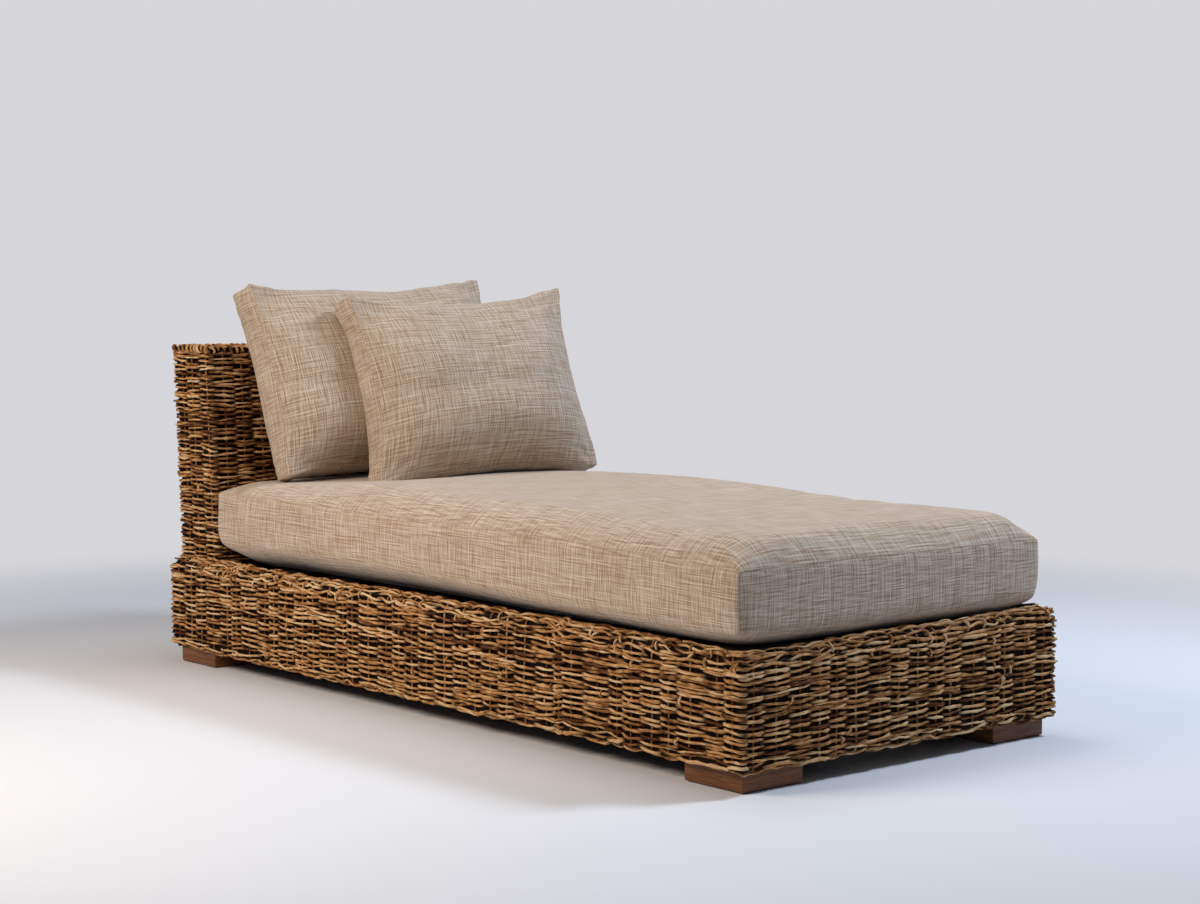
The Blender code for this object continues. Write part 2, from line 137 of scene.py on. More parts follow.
# Loose ends in millimetres: how far they run round the wall, and how far they fall
RIM_TUCK, RIM_TRAIL = ((-12, 12), (12, 26)), ((45, 120), (-12, 12))
WALL_TUCK, BASE_TRAIL, BACK_TRAIL = ((-10, 10), (12, 24)), ((60, 150), (-9, 9)), ((60, 150), (-8, 8))
# The closed top of the back
TOP_INSET, TOP_DROP, TOP_SWING = 13 * MM, 1.5 * MM, 4.2 * MM

# The seat cushion: its sides, the heights of its seams and crown from the foot (-1) to the head (1),
# how soon it crowns above and below, and how far its edges draw in
SEAT_X = (-0.815, 1.000)
SEAT_Y = (-0.435, 0.420)
SEAT_HIGH_SEAM = ((-1, -0.5, 0, 0.5, 1), (0.408, 0.4225, 0.426, 0.430, 0.434))
SEAT_LOW_SEAM = ((-1, -0.5, 0.5, 1), (0.282, 0.288, 0.312, 0.302))
SEAT_CROWN = ((-1, -0.55, -0.15, 0.15, 0.4, 0.62, 1), (0.4575, 0.4665, 0.4745, 0.479, 0.4765, 0.467, 0.459))
SEAT_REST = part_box("seat_cushion")[0].z
SEAT_REACHES = (0.100, 0.140)
SEAT_DRAW_IN = (0.004, 0.003)
# On the left the low seam has sunk to the rim
SEAT_SUNK_SEAM = 0.260

# The pillows: place, turn, width, height, how far the sides, top and foot draw in, and how a corner slumps
REAR_PILLOW = (
    (-0.7407, -0.0032, 0.7024), (0.87, -20.45, 0.06), 0.698, 0.485, (0.0097, 0.0240, 0.0116), (0.000, 0.000)
)
FRONT_PILLOW = (
    (-0.5446, 0.1245, 0.6840), (1.70, -20.64, -5.69), 0.616, 0.473, (0.0175, 0.0324, 0.0120), (0.014, 0.010)
)
# What both share: half the depth at the seams, the crowns in front and behind, and how the filling lies
PILLOW_SEAM, PILLOW_NARROWING = 0.042, 0.30
PILLOW_CROWNS = (0.086, 0.042)
PILLOW_REACH, PILLOW_BELLY = 0.235, -0.22

# Sewing: where a cover's grid counts as its edge, how far apart panels are cut, seams, filling and dents
AT_EDGE = 0.999
PANEL_GAP = 3.1
SEAM_RADIUS, SEAM_SIDES = 1.0 * MM, 6
SIM_FRAMES = 20
CLEARANCE, DENT_REACH, DENT_ROUNDS = 1.5 * MM, 60 * MM, 12
TINY = 1e-9


def linear(code):
    """Turns an sRGB hex value into linear red, green and blue."""
    parts = [int(code[at : at + 2], 16) / 255 for at in (1, 3, 5)]
    return tuple(part / 12.92 if part <= 0.04045 else ((part + 0.055) / 1.055) ** 2.4 for part in parts)


def amount(name, description, default, **kind):
    """A number that a user may change."""
    return FloatProperty(name=name, description=description, default=default, **kind)


def size(name, description, default):
    """A length that a user may change."""
    return amount(name, description, default, precision=4, unit="LENGTH")


def colour(name, description, code):
    """A colour that a user may change."""
    shade = linear(code)
    return FloatVectorProperty(name=name, description=description, default=shade, subtype="COLOR", min=0, max=1)


class WeaveSettings(bpy.types.PropertyGroup):
    """Sizes and colours of the woven skins."""

    row_pitch: size("Row pitch", "Height of one row of strands", 6.0 * MM)
    stake_pitch: size("Stake pitch", "Distance between the upright stakes", 55 * MM)
    strand_radius: size("Strand radius", "Mean radius of a woven strand", 2.85 * MM)
    stake_radius: size("Stake radius", "Radius of an upright stake", 2.3 * MM)
    swing: size("Swing", "How far a strand swings to each side of the stakes", 6.2 * MM)
    seed: IntProperty(name="Seed", description="Chooses the irregularities of the weave", default=11)
    tan: colour("Tan", "Most of the strands", "#c69059")
    brown: colour("Brown", "The darkest strands", "#552f17")
    pale: colour("Pale", "The palest strands", "#e7c699")
    # Painted shade: the near-black colour of strands where they pass behind a stake
    recess: colour("Recess", "Strands where they pass behind a stake", "#160702")


class LinenSettings(bpy.types.PropertyGroup):
    """Sizes and colours of the cushions and their cloth."""

    seat_cell: size("Seat cell", "Mesh size of the seat's cover", 14 * MM)
    pillow_cell: size("Pillow cell", "Mesh size of a pillow's cover", 9 * MM)
    seat_swell: size("Seat swell", "How far the stuffing may push the seat's cover out", 4 * MM)
    pillow_swell: size("Pillow swell", "How far the stuffing may push a pillow's cover out", 6 * MM)
    seed: IntProperty(name="Seed", description="Chooses the lumps and folds of the cushions", default=5)
    pressure: amount("Pressure", "Pressure of the stuffing", 4.0, min=0)
    ecru: colour("Ecru", "The pale threads", "#d8c9b6")
    tan: colour("Tan", "The dark threads", "#9b7d5e")
    # Painted shade: the pillows' linen is the seat's linen made a shade darker, over each whole pillow
    pillow_shade_ecru: colour("Pillow ecru", "The pale threads of the pillows, a shade darker", "#cdbfad")
    pillow_shade_tan: colour("Pillow tan", "The dark threads of the pillows", "#937759")


class TimberSettings(bpy.types.PropertyGroup):
    """Colours of the feet, the frame and the small fittings."""

    walnut: colour("Walnut", "The feet between the grain lines", "#8c5933")
    walnut_grain: colour("Walnut grain", "The grain lines of the feet", "#52311b")
    # Painted shade: the frame inside is near black, standing in for the shade inside the base
    frame_shade: colour("Stain", "The frame inside, stained dark", "#1f1712")
    frame_shade_grain: colour("Stain grain", "The grain lines of the frame", "#100b08")
    zinc: colour("Zinc", "The coach screws", "#a9abad")
    nylon: colour("Nylon", "The glides", "#17181a")


class StageSettings(bpy.types.PropertyGroup):
    """The camera, the floor and the light."""

    camera_place: FloatVectorProperty(
        name="Camera place", description="Where the camera stands", default=(3.908, -3.250, 0.901), subtype="XYZ"
    )
    camera_turn: amount("Camera turn", "Where it looks, from +X", radians(139.49), subtype="ANGLE")
    camera_pitch: amount("Camera pitch", "How far it looks up", radians(-3.91), subtype="ANGLE")
    lens: amount("Lens", "Focal length in millimetres", 67.5, subtype="DISTANCE_CAMERA")
    floor: colour("Floor", "The pale floor", "#ebedf0")
    backdrop: colour("Backdrop", "What the camera sees behind the floor", "#d6d6da")
    key: amount("Key", "Warm softbox at the long side, in watts", 58.0, subtype="POWER")
    top: amount("Top", "Softbox overhead, in watts", 32.0, subtype="POWER")
    side: amount("Side", "Cool softbox high past the foot end, in watts", 103.0, subtype="POWER")
    sky: amount("Sky", "Strength of the even cool light", 0.13)


def add_node(tree, kind, inputs=None, **settings):
    """Adds a node, gives it its settings, and fills its sockets: an output is linked and a value is set.

    Returns the first of its outputs that is in use.
    """
    node = tree.nodes.new(kind)
    for name, value in settings.items():
        setattr(node, name, value)
    for name, value in (inputs or {}).items():
        if isinstance(value, bpy.types.NodeSocket):
            tree.links.new(value, node.inputs[name])
        else:
            node.inputs[name].default_value = value
    return next((output for output in node.outputs if output.enabled), None)


def opaque(shade):
    return (*shade, 1.0)


def empty_tree(owner):
    """The node tree of a material or a world, with nothing in it."""
    owner.use_nodes = True
    owner.node_tree.nodes.clear()
    return owner.node_tree


def start_material(name):
    """An empty material, and what adds nodes to it."""
    material = bpy.data.materials.new(name)
    return material, partial(add_node, empty_tree(material))


def woven_abaca(look):
    """Abaca vine, dried and woven by hand."""
    # Dry bark is matt and fibrous, tan to brown from strand to strand; where a strand passes behind a stake it is
    # painted almost black, as painted shade
    material, add = start_material("woven_abaca_vine")
    strand = add("ShaderNodeUVMap", uv_map="strand")
    tone = add("ShaderNodeAttribute", attribute_name="tone").node.outputs["Fac"]
    recess = add("ShaderNodeAttribute", attribute_name="recess").node.outputs["Fac"]
    # Fibres are about 0.5 mm wide, drawn 1.4 mm wide so that they show
    stretch = (1 / (40 * MM), 1 / (1.4 * MM), 1)
    fine = add("ShaderNodeVectorMath", {0: strand, 1: stretch}, operation="MULTIPLY")
    fibre = add("ShaderNodeTexNoise", {"Vector": fine, "Scale": 1.0, "Detail": 2.0})
    # Bark changes colour every 20 mm or so
    stretch = (1 / (22 * MM), 1 / (22 * MM), 1)
    broad = add("ShaderNodeVectorMath", {0: strand, 1: stretch}, operation="MULTIPLY")
    patch = add("ShaderNodeTexNoise", {"Vector": broad, "Scale": 1.0, "Detail": 3.0})
    streak = add("ShaderNodeMapRange", {0: fibre, 1: 0.3, 2: 0.7, 3: -0.28, 4: 0.28})
    cloud = add("ShaderNodeMapRange", {0: patch, 1: 0.3, 2: 0.7, 3: -0.34, 4: 0.34})
    first = add("ShaderNodeMath", {0: tone, 1: streak}, operation="ADD")
    mixed = add("ShaderNodeMath", {0: first, 1: cloud}, operation="ADD")
    tanned = add("ShaderNodeMapRange", {0: mixed, 1: 0.0, 2: 0.55})
    worn = add("ShaderNodeMapRange", {0: mixed, 1: 0.55, 2: 1.0})
    # Painted shade: the further back a strand lies, the nearer it is painted to the near-black recess colour
    painted_shade_share = add("ShaderNodeMapRange", {0: recess, 1: 0.20, 2: 0.70}, interpolation_type="SMOOTHSTEP")
    shade = opaque(look.brown)
    for part, other in ((tanned, look.tan), (worn, look.pale), (painted_shade_share, look.recess)):
        shade = add("ShaderNodeMix", {0: part, 6: shade, 7: opaque(other)}, data_type="RGBA")
    ridges = add("ShaderNodeBump", {"Height": fibre, "Strength": 0.5, "Distance": 0.8 * MM})
    rough = add("ShaderNodeMapRange", {0: patch, 1: 0.2, 2: 0.8, 3: 0.52, 4: 0.72})
    bark = {"Base Color": shade, "Roughness": rough, "IOR": 1.45, "Specular IOR Level": 0.10, "Normal": ridges}
    add("ShaderNodeOutputMaterial", {0: add("ShaderNodeBsdfPrincipled", bark)})
    return material


def slub_linen(name, ecru, tan):
    """Linen of uneven, slubbed yarn in two shades, plain woven."""
    # Uneven yarn gives a crosshatch of pale and tan streaks, matt, with a little bloom at the edges
    material, add = start_material(name)
    cloth = add("ShaderNodeUVMap", uv_map="cloth")
    # Threads wander a little over a hand's breadth
    stretch = (1 / (90 * MM), 1 / (90 * MM), 1)
    wide = add("ShaderNodeVectorMath", {0: cloth, 1: stretch}, operation="MULTIPLY")
    dye = add("ShaderNodeTexNoise", {"Vector": wide, "Scale": 1.0, "Detail": 2.0})
    wander = {0: dye.node.outputs["Color"], 1: (4 * MM, 4 * MM, 0), 2: cloth}
    wandered = add("ShaderNodeVectorMath", wander, operation="MULTIPLY_ADD")
    thread = add("ShaderNodeSeparateXYZ", {0: wandered}).node.outputs
    # Yarn is about 1 mm thick, drawn 2.6 mm wide so that it shows; a slub runs for 90 to 160 mm
    heights = []
    for over, along, length in (("X", "Y", 90 * MM), ("Y", "X", 160 * MM)):
        count = add("ShaderNodeMath", {0: thread[over], 1: 1 / (2.6 * MM)}, operation="MULTIPLY")
        yarns = []
        for beside in (0.0, 1.0):
            number = add("ShaderNodeMath", {0: count, 1: beside}, operation="ADD")
            whole = add("ShaderNodeMath", {0: number}, operation="FLOOR")
            start = add("ShaderNodeTexWhiteNoise", {"W": whole}, noise_dimensions="1D")
            reel = add("ShaderNodeMath", {0: start, 1: 100.0}, operation="MULTIPLY")
            run = add("ShaderNodeMath", {0: thread[along], 1: 1 / length, 2: reel}, operation="MULTIPLY_ADD")
            slub = {"W": run, "Scale": 1.0, "Detail": 2.0, "Roughness": 0.6}
            yarns.append(add("ShaderNodeTexNoise", slub, noise_dimensions="1D"))
        # A thick yarn crowds the next one, so pale and dark yarns lie side by side
        heights.append(add("ShaderNodeMath", {0: yarns[1], 1: -0.4, 2: yarns[0]}, operation="MULTIPLY_ADD"))
    both = add("ShaderNodeMath", {0: heights[0], 1: heights[1]}, operation="ADD")
    uneven = add("ShaderNodeMapRange", {0: dye, 1: 0.3, 2: 0.7, 3: -0.02, 4: 0.02})
    total = add("ShaderNodeMath", {0: both, 1: uneven}, operation="ADD")
    pale = add("ShaderNodeMapRange", {0: total, 1: 0.31, 2: 0.89})
    linen = {
        "Base Color": add("ShaderNodeMix", {0: pale, 6: opaque(tan), 7: opaque(ecru)}, data_type="RGBA"),
        "Roughness": 0.92,
        "IOR": 1.45,
        "Specular IOR Level": 0.25,
        "Sheen Weight": 0.25,
        "Sheen Roughness": 0.5,
        "Normal": add("ShaderNodeBump", {"Height": both, "Strength": 0.22, "Distance": 0.7 * MM}),
    }
    add("ShaderNodeOutputMaterial", {0: add("ShaderNodeBsdfPrincipled", linen)})
    return material


def grained_timber(name, face, grain, line, run, roughness):
    """Timber with grain lines of one width in millimetres, drawn out along one axis."""
    material, add = start_material(name)
    place = add("ShaderNodeTexCoord").node.outputs["Object"]
    spread = add("ShaderNodeVectorMath", {0: place, 1: run}, operation="MULTIPLY")
    fine = {"Vector": spread, "Scale": 1 / (line * MM), "Detail": 4.0, "Distortion": 0.4}
    pores = add("ShaderNodeTexNoise", fine)
    broad = add("ShaderNodeTexNoise", {"Vector": spread, "Scale": 1 / (5 * line * MM), "Detail": 2.0})
    both = add("ShaderNodeMath", {0: pores, 1: broad}, operation="ADD")
    part = add("ShaderNodeMapRange", {0: both, 1: 0.75, 2: 1.25})
    shade = add("ShaderNodeMix", {0: part, 6: opaque(grain), 7: opaque(face)}, data_type="RGBA")
    ridges = add("ShaderNodeBump", {"Height": pores, "Strength": 0.25, "Distance": 0.4 * MM})
    rough = add("ShaderNodeMapRange", {0: pores, 1: 0.2, 2: 0.8, 3: roughness + 0.1, 4: roughness})
    wood = {"Base Color": shade, "Roughness": rough, "IOR": 1.5, "Specular IOR Level": 0.3, "Normal": ridges}
    add("ShaderNodeOutputMaterial", {0: add("ShaderNodeBsdfPrincipled", wood)})
    return material


def plated_zinc(look):
    """Steel screws, zinc plated by electrolysis."""
    # Plating is grey, a little cloudy and half bright
    material, add = start_material("zinc_plated_steel_screw")
    place = add("ShaderNodeTexCoord").node.outputs["Object"]
    cloud = add("ShaderNodeTexNoise", {"Vector": place, "Scale": 1 / (3 * MM), "Detail": 3.0})
    rough = add("ShaderNodeMapRange", {0: cloud, 1: 0.3, 2: 0.7, 3: 0.28, 4: 0.46})
    plating = {"Base Color": opaque(look.zinc), "Metallic": 1.0, "Roughness": rough}
    add("ShaderNodeOutputMaterial", {0: add("ShaderNodeBsdfPrincipled", plating)})
    return material


def moulded_nylon(look):
    """Black nylon, injection moulded."""
    # Moulded nylon is dull black, with a fine grain from the mould
    material, add = start_material("black_nylon_moulded")
    place = add("ShaderNodeTexCoord").node.outputs["Object"]
    grit = add("ShaderNodeTexNoise", {"Vector": place, "Scale": 1 / (0.8 * MM), "Detail": 2.0})
    bumps = add("ShaderNodeBump", {"Height": grit, "Strength": 0.2, "Distance": 0.1 * MM})
    nylon = {"Base Color": opaque(look.nylon), "Roughness": 0.55, "IOR": 1.53, "Normal": bumps}
    add("ShaderNodeOutputMaterial", {0: add("ShaderNodeBsdfPrincipled", nylon)})
    return material


def link(piece):
    bpy.context.scene.collection.objects.link(piece)
    return piece


def drift(chance, along, shortest, longest, waves=3):
    """A smooth random curve between about -1 and 1 along a strand."""
    total = np.zeros(len(along))
    for _ in range(waves):
        total += np.sin(2 * pi * (along / chance.uniform(shortest, longest) + chance.random()))
    return total / waves


def ramp(values, low, high):
    """A smooth step from 0 at low to 1 at high."""
    share = np.clip((values - low) / (high - low), 0, 1)
    return share * share * (3 - 2 * share)


def bell(distance, width):
    """A smooth bump: 1 at no distance, and less and less over the width."""
    return np.exp(-((distance / width) ** 2))


def unit(vectors):
    return vectors / np.linalg.norm(vectors, axis=1, keepdims=True)


def run_length(path):
    """How far each point of a path is from its start."""
    return np.concatenate([[0], np.cumsum(np.linalg.norm(np.diff(path, axis=0), axis=1))])


def tube(path, up, side, reach, angle):
    """Rings of points round a path, at a reach from it."""
    spokes = np.cos(angle)[:, None] * up[:, None] + np.sin(angle)[:, None] * side[:, None]
    return path[:, None] + reach[..., None] * spokes


class Bundle:
    """Strands gathered into one mesh."""

    def __init__(self):
        self.strands = []

    def add(self, chance, path, outward, radius, tone, recess):
        """Takes a strand: its path, what way is out, and its radius, tone and painted recess shade along it. Its ends
        close.
        """
        ends = [0, -1]
        tips = path[ends] + unit(path[ends] - path[[1, -2]]) * radius[ends, None] * TIP_LENGTH
        path = np.vstack([tips[:1], path, tips[1:]])
        outward, radius, tone, recess = (
            np.concatenate([values[:1], values, values[-1:]]) for values in (outward, radius, tone, recess)
        )
        radius[ends] *= TIP_RADIUS
        along = run_length(path)
        way = unit(np.gradient(path, axis=0))
        side = unit(np.cross(way, outward))
        # Each ring starts at its inner side, so that the seam of the pattern is hidden
        angle = pi + 2 * pi * np.arange(STRAND_SIDES) / STRAND_SIDES
        twist = 2 * pi * (along / TWIST_LENGTH * chance.uniform(0.7, 1.3) + chance.random())
        reach = radius[:, None] * (1 + OVAL * np.cos(2 * (angle - twist[:, None])))
        rings = tube(path, np.cross(side, way), side, reach, angle)
        self.strands.append((rings, along, tone, recess, radius.mean(), chance.uniform(0, 50)))

    def make(self, name, material):
        """One mesh of all strands, with a map along each one and a map that lays them side by side."""
        around = np.arange(STRAND_SIDES)
        turn = 2 * pi * around / STRAND_SIDES
        girth = max(2 * pi * strand[4] for strand in self.strands)
        length = sum(strand[1][-1] for strand in self.strands)
        line_length = (length * girth * 1.1) ** 0.5
        line_count = int(length / line_length) + 2
        quads, caps, first, reel = [], [], 0, 0.0
        strand_maps, tape_maps = ([], []), ([], [])
        for rings, along, _, _, radius, offset in self.strands:
            last = len(rings) - 1
            step, spot = (grid.ravel() for grid in np.meshgrid(np.arange(last), around, indexing="ij"))
            after = (spot + 1) % STRAND_SIDES
            low, high = step * STRAND_SIDES, (step + 1) * STRAND_SIDES
            quads.append(first + np.stack([low + spot, low + after, high + after, high + spot], 1))
            caps.append(first + np.stack([around[::-1], last * STRAND_SIDES + around]))
            u = along[np.stack([step, step, step + 1, step + 1], 1)]
            v = np.stack([spot, spot + 1, spot + 1, spot], 1) / STRAND_SIDES
            line = np.floor((reel + along[step]) / line_length)[:, None]
            strand_maps[0].append(np.stack([u + offset, v * 2 * pi * radius], -1))
            tape_maps[0].append(np.stack([reel + u - line * line_length, line + 0.04 + 0.92 * v], -1))
            for end, inner, spin in ((0, 0, -turn), (-1, -2, turn)):
                disc = np.stack([np.cos(spin), np.sin(spin)], -1)
                line = np.floor((reel + along[inner]) / line_length)
                at = np.array([reel + along[end] - line * line_length, line + 0.5])
                strand_maps[1].append(np.array([along[end] + offset, pi * radius]) + disc * 0.3 * radius)
                tape_maps[1].append(at + disc * [0.3 * radius, 0.1])
            first += len(rings) * STRAND_SIDES
            reel += along[-1] + 2 * girth
        quads, caps = np.concatenate(quads), np.concatenate(caps)
        points = np.concatenate([strand[0].reshape(-1, 3) for strand in self.strands])
        corners = np.concatenate([quads.ravel(), caps.ravel()])
        starts = np.concatenate([np.arange(len(quads)) * 4, quads.size + np.arange(len(caps)) * STRAND_SIDES])
        mesh = bpy.data.meshes.new(name)
        mesh.vertices.add(len(points))
        mesh.vertices.foreach_set("co", points.ravel())
        mesh.loops.add(len(corners))
        mesh.loops.foreach_set("vertex_index", corners)
        mesh.polygons.add(len(starts))
        mesh.polygons.foreach_set("loop_start", starts)
        mesh.update(calc_edges=True)
        mesh.polygons.foreach_set("use_smooth", np.ones(len(starts), bool))
        tape_scale = (1 / (line_length + 4 * girth), 1 / (line_count + 1))
        for label, maps, scale in (("strand", strand_maps, (1, 1)), ("OFBake", tape_maps, tape_scale)):
            flat = np.concatenate([np.concatenate(part).reshape(-1, 2) for part in maps]) * scale
            mesh.uv_layers.new(name=label).uv.foreach_set("vector", flat.astype(np.float32).ravel())
        mesh.uv_layers["strand"].active_render = True
        # The recess shade attribute tells the material how much painted shade each point gets
        for label, part in (("tone", 2), ("recess", 3)):
            values = np.concatenate([np.repeat(strand[part], STRAND_SIDES) for strand in self.strands])
            mesh.attributes.new(label, "FLOAT", "POINT").data.foreach_set("value", values.astype(np.float32))
        mesh.materials.append(material)
        return link(bpy.data.objects.new(name, mesh))


class Skin:
    """The middle of a woven wall, unrolled: a distance round it and a distance down it give a place."""

    def __init__(self, middle, half, profile, stake_pitch, lean=0.0, settling=()):
        self.middle, self.half, self.lean, self.settling = middle, half, lean, settling
        self.inset, self.height, self.tilt = np.array(profile).T
        self.down = run_length(np.stack([self.inset, self.height], 1))
        bend = CORNER_RADIUS * pi / 2
        straight = [2 * (side - WALL_MIDDLE - CORNER_RADIUS) for side in half]
        self.lengths = np.array([straight[1], bend, straight[0], bend] * 2)
        self.starts = np.concatenate([[0], np.cumsum(self.lengths)[:-1]])
        self.corners = self.starts[1::2] + bend / 2
        self.round = float(sum(self.lengths))
        self.stakes = 2 * round(self.round / stake_pitch / 2)
        self.pitch = self.round / self.stakes
        # No stake stands on the first corner
        self.shift = self.pitch / 2

    def from_corner(self, around):
        """How far places round the wall are from the nearest corner."""
        gap = around[:, None] - self.corners + self.round / 2
        return np.abs(gap % self.round - self.round / 2).min(1)

    def wall(self, around):
        """Which wall a place is on: 0 foot, 1 left, 2 head, 3 right."""
        return int(np.searchsorted(self.starts, around % self.round, side="right") - 1) // 2

    def spans(self):
        """Each wall, and where it begins and ends."""
        edges = [*self.corners, self.corners[0] + self.round]
        return [(wall % 4, *span) for wall, span in enumerate(pairwise(edges), 1)]

    def steps(self, begin, end):
        """Places along a strand, closer together round the corners."""
        even = np.arange(begin, end, self.pitch / STEPS_PER_STAKE)
        corner = np.linspace(-0.25, 1.25, STEPS_PER_CORNER + 2) * self.lengths[1]
        turns = range(int(begin // self.round), int(end // self.round) + 1)
        bends = np.concatenate([turn * self.round + at + corner for turn in turns for at in self.starts[1::2]])
        bends = bends[(bends > begin + MM) & (bends < end - MM)]
        if len(bends):
            even = even[np.abs(even[:, None] - bends).min(1) > 4 * MM]
        return np.sort(np.concatenate([even, bends, [end]]))

    def place(self, around, down, out):
        """Points at a distance round, a distance down and a distance out from the middle, and the way out there."""
        tilt = np.interp(down, self.down, self.tilt)
        inset = np.interp(down, self.down, self.inset) - out * np.cos(tilt)
        height = np.interp(down, self.down, self.height) + out * np.sin(tilt)
        around = around % self.round
        part = np.searchsorted(self.starts, around, side="right") - 1
        share = (around - self.starts[part]) / self.lengths[part]
        side, bent = part // 2, part % 2 == 1
        bend = np.maximum(CORNER_RADIUS + WALL_MIDDLE - inset, LEAST_RADIUS)
        square = pi / 2 * side
        angle = square + np.where(bent, pi / 2 * share, 0)
        normal = np.stack([np.cos(angle), np.sin(angle)], 1)
        run = np.where(bent, 1, 2 * share - 1)
        x = (self.half[0] - inset - bend) * (np.cos(square) - run * np.sin(square)) + bend * normal[:, 0]
        y = (self.half[1] - inset - bend) * (np.sin(square) + run * np.cos(square)) + bend * normal[:, 1]
        x = x + self.middle - self.lean * (height - BACK_LOW.z) / (BACK_HIGH.z - BACK_LOW.z)
        for end, flank, lift in self.settling:
            gap = np.hypot(x - self.middle - end * self.half[0], y - flank * self.half[1])
            height = height + lift * bell(gap, SETTLED_RUN) * ramp(height, BASE_LOW.z, BASE_HIGH.z)
        outward = np.stack([*(np.cos(tilt) * normal.T), np.sin(tilt)], 1)
        return np.stack([x, y, height], 1), outward


class Weaver:
    """Weaves strands over and under the stakes of a skin, into one bundle for each wall."""

    def __init__(self, skin, look, seed):
        self.skin, self.look = skin, look
        self.chance = chance = np.random.default_rng(seed)
        self.walls = [Bundle() for _ in range(4)]
        self.warps = [(count, chance.random(), chance.uniform(1.5, 7)) for count in (3, 5, 8, 13, 21, 29)]
        counts = [round(skin.round / chance.uniform(0.13, 0.30)) for _ in range(4)]
        self.shifts = [(count, chance.random()) for count in counts]

    def sag(self, around, down):
        """How rows rise and fall together, because no row is level."""
        total = np.zeros(len(around))
        for count, shift, turns in self.warps:
            total += np.sin(2 * pi * (count * around / self.skin.round + shift + turns * down)) * 10 / (count + 6)
        return total * MM

    def spread(self, around):
        """Moves places along the wall a little, so that no two stakes stand equally far apart."""
        total = sum(np.sin(2 * pi * (count * around / self.skin.round + shift)) for count, shift in self.shifts)
        return around + 5 * MM * total * (1 - bell(self.skin.from_corner(around), 50 * MM))

    def strand(self, bundle, around, down, out, radius, tone, recess=None):
        """One strand through places on the skin."""
        push = CORNER_PUSH * bell(self.skin.from_corner(around), 10 * MM)
        path, outward = self.skin.place(self.spread(around), down, out + push)
        # Painted shade: a strand is painted darker the further back it lies behind the stakes
        if recess is None:
            recess = np.clip(0.5 - out / (2 * self.look.swing), 0, 1)
        bundle.add(self.chance, path, outward, radius, tone, recess)

    def row(self, number, down, loose, ripple, share, skips):
        """A row round the skin, in lengths of vine whose ends are tucked behind stakes."""
        skin, look, chance = self.skin, self.look, self.chance
        at = int(chance.integers(skin.stakes))
        at += (at + number + 1) % 2
        last = at + skin.stakes
        while at < last:
            end = min(at + 2 * int(chance.integers(4, 13)), last)
            around = skin.steps((at - 0.4) * skin.pitch + skin.shift, (end + 0.4) * skin.pitch + skin.shift)
            beat = (around - skin.shift) / skin.pitch
            wave = np.tanh(1.3 * np.cos(pi * (beat + number))) / np.tanh(1.3)
            # Now and then a strand misses a stake and floats on
            stakes = np.arange(at - 1, end + 2)
            misses = np.interp(beat, stakes, chance.random(len(stakes)) < skips)
            wave = wave + np.clip(0.6 - wave, 0, 2) * misses
            push = np.interp(beat, stakes, chance.normal(0, 0.8, len(stakes))) * MM
            out = wave * look.swing * share * chance.uniform(0.90, 1.06) + push
            tilt = np.interp(beat, stakes + 0.5, chance.normal(0, 1.8, len(stakes)))
            stray = tilt + 0.8 * drift(chance, around, 0.03, 0.07) + 1.2 * drift(chance, around, 0.2, 0.8)
            stray += ripple * drift(chance, around, 0.05, 0.11, 2)
            place = down + self.sag(around, down) + stray * loose * MM
            thick = look.strand_radius * chance.uniform(0.72, 1.26)
            radius = 1 + 0.22 * drift(chance, around, 0.02, 0.05) + 0.14 * drift(chance, around, 0.1, 0.3)
            # Out of sight a strand spreads, which closes the wall
            radius = thick * radius * (1 + 0.30 * np.clip(-wave, 0, 1))
            tone = chance.normal(0.48, 0.25) + 0.2 * drift(chance, around, 0.06, 0.3)
            bundle = self.walls[skin.wall((at + end) / 2 * skin.pitch)]
            self.strand(bundle, around, place, out, radius, tone)
            at = end

    def shaded_backing(self, down):
        """A thick row behind the others, painted wholly in the near-black painted shade so that it stands in for the
        shade in the gaps, and so that nothing shows through the wall.
        """
        for wall, begin, end in self.skin.spans():
            around = self.skin.steps(begin, end)[::3]
            around[-1] = end
            plain = np.ones(len(around))
            place, out = down + self.sag(around, down), plain * -BACKING_DEPTH
            self.strand(self.walls[wall], around, place, out, plain * BACKING_RADIUS, plain * 0.2, plain)

    def stake(self, number, top, foot):
        """An upright that the rows go round."""
        skin, chance = self.skin, self.chance
        down = np.arange(top, foot, STAKE_STEP)
        around = number * skin.pitch + skin.shift + drift(chance, down, 0.05, 0.3) * 1.6 * MM
        out = drift(chance, down, 0.05, 0.2) * 0.8 * MM - STAKE_DRAW * bell(skin.from_corner(around), 14 * MM)
        radius = self.look.stake_radius * (1 + 0.12 * drift(chance, down, 0.03, 0.1))
        tone = chance.normal(0.34, 0.14) + 0.1 * drift(chance, down, 0.05, 0.2)
        # Painted shade: stakes are painted a little toward the near-black recess colour
        self.strand(self.walls[skin.wall(around[0])], around, down, out, radius, tone, np.full(len(down), 0.35))

